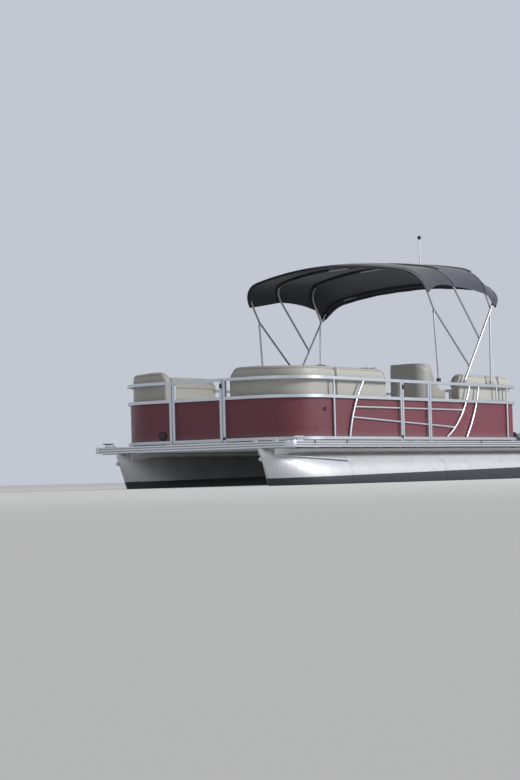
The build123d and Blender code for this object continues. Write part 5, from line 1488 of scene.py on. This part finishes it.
gasket = Build()
ring = []
for k in range(72):
    angle = 2 * pi * k / 72
    way = MOTOR @ Vector((cos(angle), 0.62 * sin(angle), 0))
    ring.append(touch("outboard_cowl", motor(0.22, 0, 0.100) + way.normalized() * 0.9, -way)[0])
gasket.tube(ring, 0.0055, 8, closed=True)
for side in (1, -1):
    for row in range(7):
        slat = []
        for k in range(9):
            start = motor(0.915 + 0.010 * row, side * (0.028 + 0.012 * k), 0.53 - 0.022 * row)
            slat.append(touch("outboard_cowl", start, -MOTOR_AFT)[0])
        gasket.tube(slat, 0.0048, 6)
gasket.finish("cowl_seal_and_grille", BLACK, "outboard", 35)
belt = Build()
for side in (1, -1):
    rings = []
    for k in range(25):
        tall = 0.028 * sin(pi * (k + 0.5) / 25) ** 0.35 + 0.003
        ring = []
        for lift, outs in ((0.0, (-0.004, 0.0035)), (tall, (0.0035, -0.004))):
            start = motor(0.47 * k / 24 - 0.02, side * 0.5, 0.255 + 0.10 * k / 24 + lift)
            place, normal = touch("outboard_cowl", start, PORT * -side)
            ring += [place + normal * out for out in outs]
        rings.append(ring)
    belt.rings(rings)
belt.finish("cowl_belt", MOTOR_GREY, "outboard", 50)
catch = Build()
place = touch("outboard_cowl", motor(1.2, 0, 0.125), -MOTOR_AFT)[0]
catch.block(place + MOTOR_AFT * 0.005, (0.012, 0.060, 0.034), 0.003, MOTOR)
catch.block(place + MOTOR_AFT * 0.012 - MOTOR_UP * 0.010, (0.010, 0.040, 0.014), 0.003, MOTOR)
for side in (1, -1):
    for up, aft in ((-0.10, 0.30), (-0.26, 0.30), (-0.40, 0.30), (-0.33, 0.39)):
        place, normal = touch("outboard_leg", motor(aft, side * 0.5, up), PORT * -side)
        catch.lathe(place, normal, ((0.011, -0.002), (0.011, 0.005), (0.006, 0.008)), 6)
catch.finish("leg_bolts_and_catch", MILL, "outboard", 30)
small = Build()
for side in (1, -1):
    for row in range(4):
        small.tube([
            touch("outboard_leg", motor(0.215 + 0.018 * k, side * 0.4, -0.675 - 0.011 * row),
                  PORT * -side)[0]
            for k in range(5)
        ], 0.0028, 6)
small.finish("water_intakes", BLACK, "outboard", 35)
anode = Build()
anode.block(motor(0.395, 0, -0.563), (0.060, 0.046, 0.014), 0.004, MOTOR)
TAB = ((0.440, -0.555), (0.480, -0.555), (0.488, -0.608), (0.456, -0.602))
anode.rings([[motor(aft, side, up) for aft, up in TAB] for side in (-0.004, 0.004)])
anode.lathe(motor(0.5925, 0, -0.720), MOTOR_AFT,
            ((0.0145, 0.0), (0.026, 0.0), (0.026, 0.010), (0.0205, 0.011), (0.0205, 0.015),
             (0.0145, 0.0165)), 6)
anode.finish("anode_tab_and_nut", MATERIALS["prop_steel"], "outboard", 30)
clamps = Build()
for side in (0.105, -0.105):
    for up in (-0.196, -0.224, -0.252):
        clamps.lathe(at(6.300, side, up), AHEAD,
                     ((0.012, -0.001), (0.012, 0.006), (0.007, 0.010)), 6)
clamps.finish("transom_bolts", MILL, "boat", 30)

# A drain plug low in each pontoon's aft cap, and a fuel filler on the aft deck
plugs = Build()
for side, node in ((0.93, "pontoon_port"), (-0.93, "pontoon_starboard")):
    face = touch(node, at(7.2, side, -0.66), AHEAD)[0]
    plugs.lathe(face, -AHEAD, ((0.018, -0.001), (0.018, 0.004), (0.011, 0.005),
                               (0.011, 0.014), (0.006, 0.015)), 6)
plugs.lathe(at(5.30, 0.95, 0.0), UP, ((0.045, -0.001), (0.043, 0.006), (0.030, 0.008),
                                      (0.028, 0.013), (0.006, 0.014)), 32)
plugs.finish("plugs_and_filler", BRIGHT, "boat", 30)


# Stage: a pale floor at the waterline and plain soft light
def two_faced(shading, seen, plain, output):
    """Shows seen to the camera, metal and glass, and plain to all other light."""
    ray = shading.nodes.new("ShaderNodeLightPath").outputs
    first = shading.maths("MAXIMUM", ray["Is Camera Ray"], ray["Is Glossy Ray"])
    pick = shading.nodes.new("ShaderNodeMixShader")
    shading.link(shading.maths("MAXIMUM", first, ray["Is Transmission Ray"]), pick.inputs[0])
    shading.link(plain, pick.inputs[1])
    shading.link(seen, pick.inputs[2])
    shading.link(pick.outputs[0], shading.nodes[output].inputs["Surface"])


REACH = 400.0
floor_mesh = bpy.data.meshes.new("floor")
floor_mesh.from_pydata(
    [(-REACH, -REACH, WATERLINE), (REACH, -REACH, WATERLINE),
     (REACH, REACH, WATERLINE), (-REACH, REACH, WATERLINE)],
    [], [(0, 1, 2, 3)],
)
floor = bpy.data.objects.new("floor", floor_mesh)
bpy.context.collection.objects.link(floor)
tone = start_material("floor", 0.9)
tone.surface("Base Color", (0.66, 0.67, 0.68))
tone.surface("Specular IOR Level", 0.0)
floor_mesh.materials.append(tone.owner)
both = tone.nodes.new("ShaderNodeAddShader")
tone.link(tone.node("BsdfDiffuse", {"Color": (0.36, 0.365, 0.37)}), both.inputs[0])
tone.link(tone.node("Emission", {"Color": (1, 1, 1), "Strength": 0.32}), both.inputs[1])
two_faced(tone, both.outputs[0], tone.nodes["Principled BSDF"].outputs[0], "Material Output")

world = bpy.data.worlds.new("studio")
bpy.context.scene.world = world
sky = Shading(world)
plain = sky.nodes["Background"]
sky.feed(plain.inputs["Color"], (1, 1, 1))
sky.feed(plain.inputs["Strength"], 0.36)
backdrop = sky.node("Background", {"Color": (0.54, 0.575, 0.645), "Strength": 1.0})
two_faced(sky, backdrop, plain.outputs[0], "World Output")

# Lamps: name, place, target, size and power
for name, place, target, size, power in (
    ("key", (-4.0, 13.0, 7.0), (0, 0, 1.2), 3.0, 1800),
    ("front", (14.0, 5.0, 7.0), (1, 0, 1.0), 6.0, 110),
):
    data = bpy.data.lights.new(name, "AREA")
    data.size = size
    data.energy = power
    light = bpy.data.objects.new(name, data)
    light.location = place
    light.rotation_euler = (Vector(target) - Vector(place)).to_track_quat("-Z", "Y").to_euler()
    bpy.context.collection.objects.link(light)
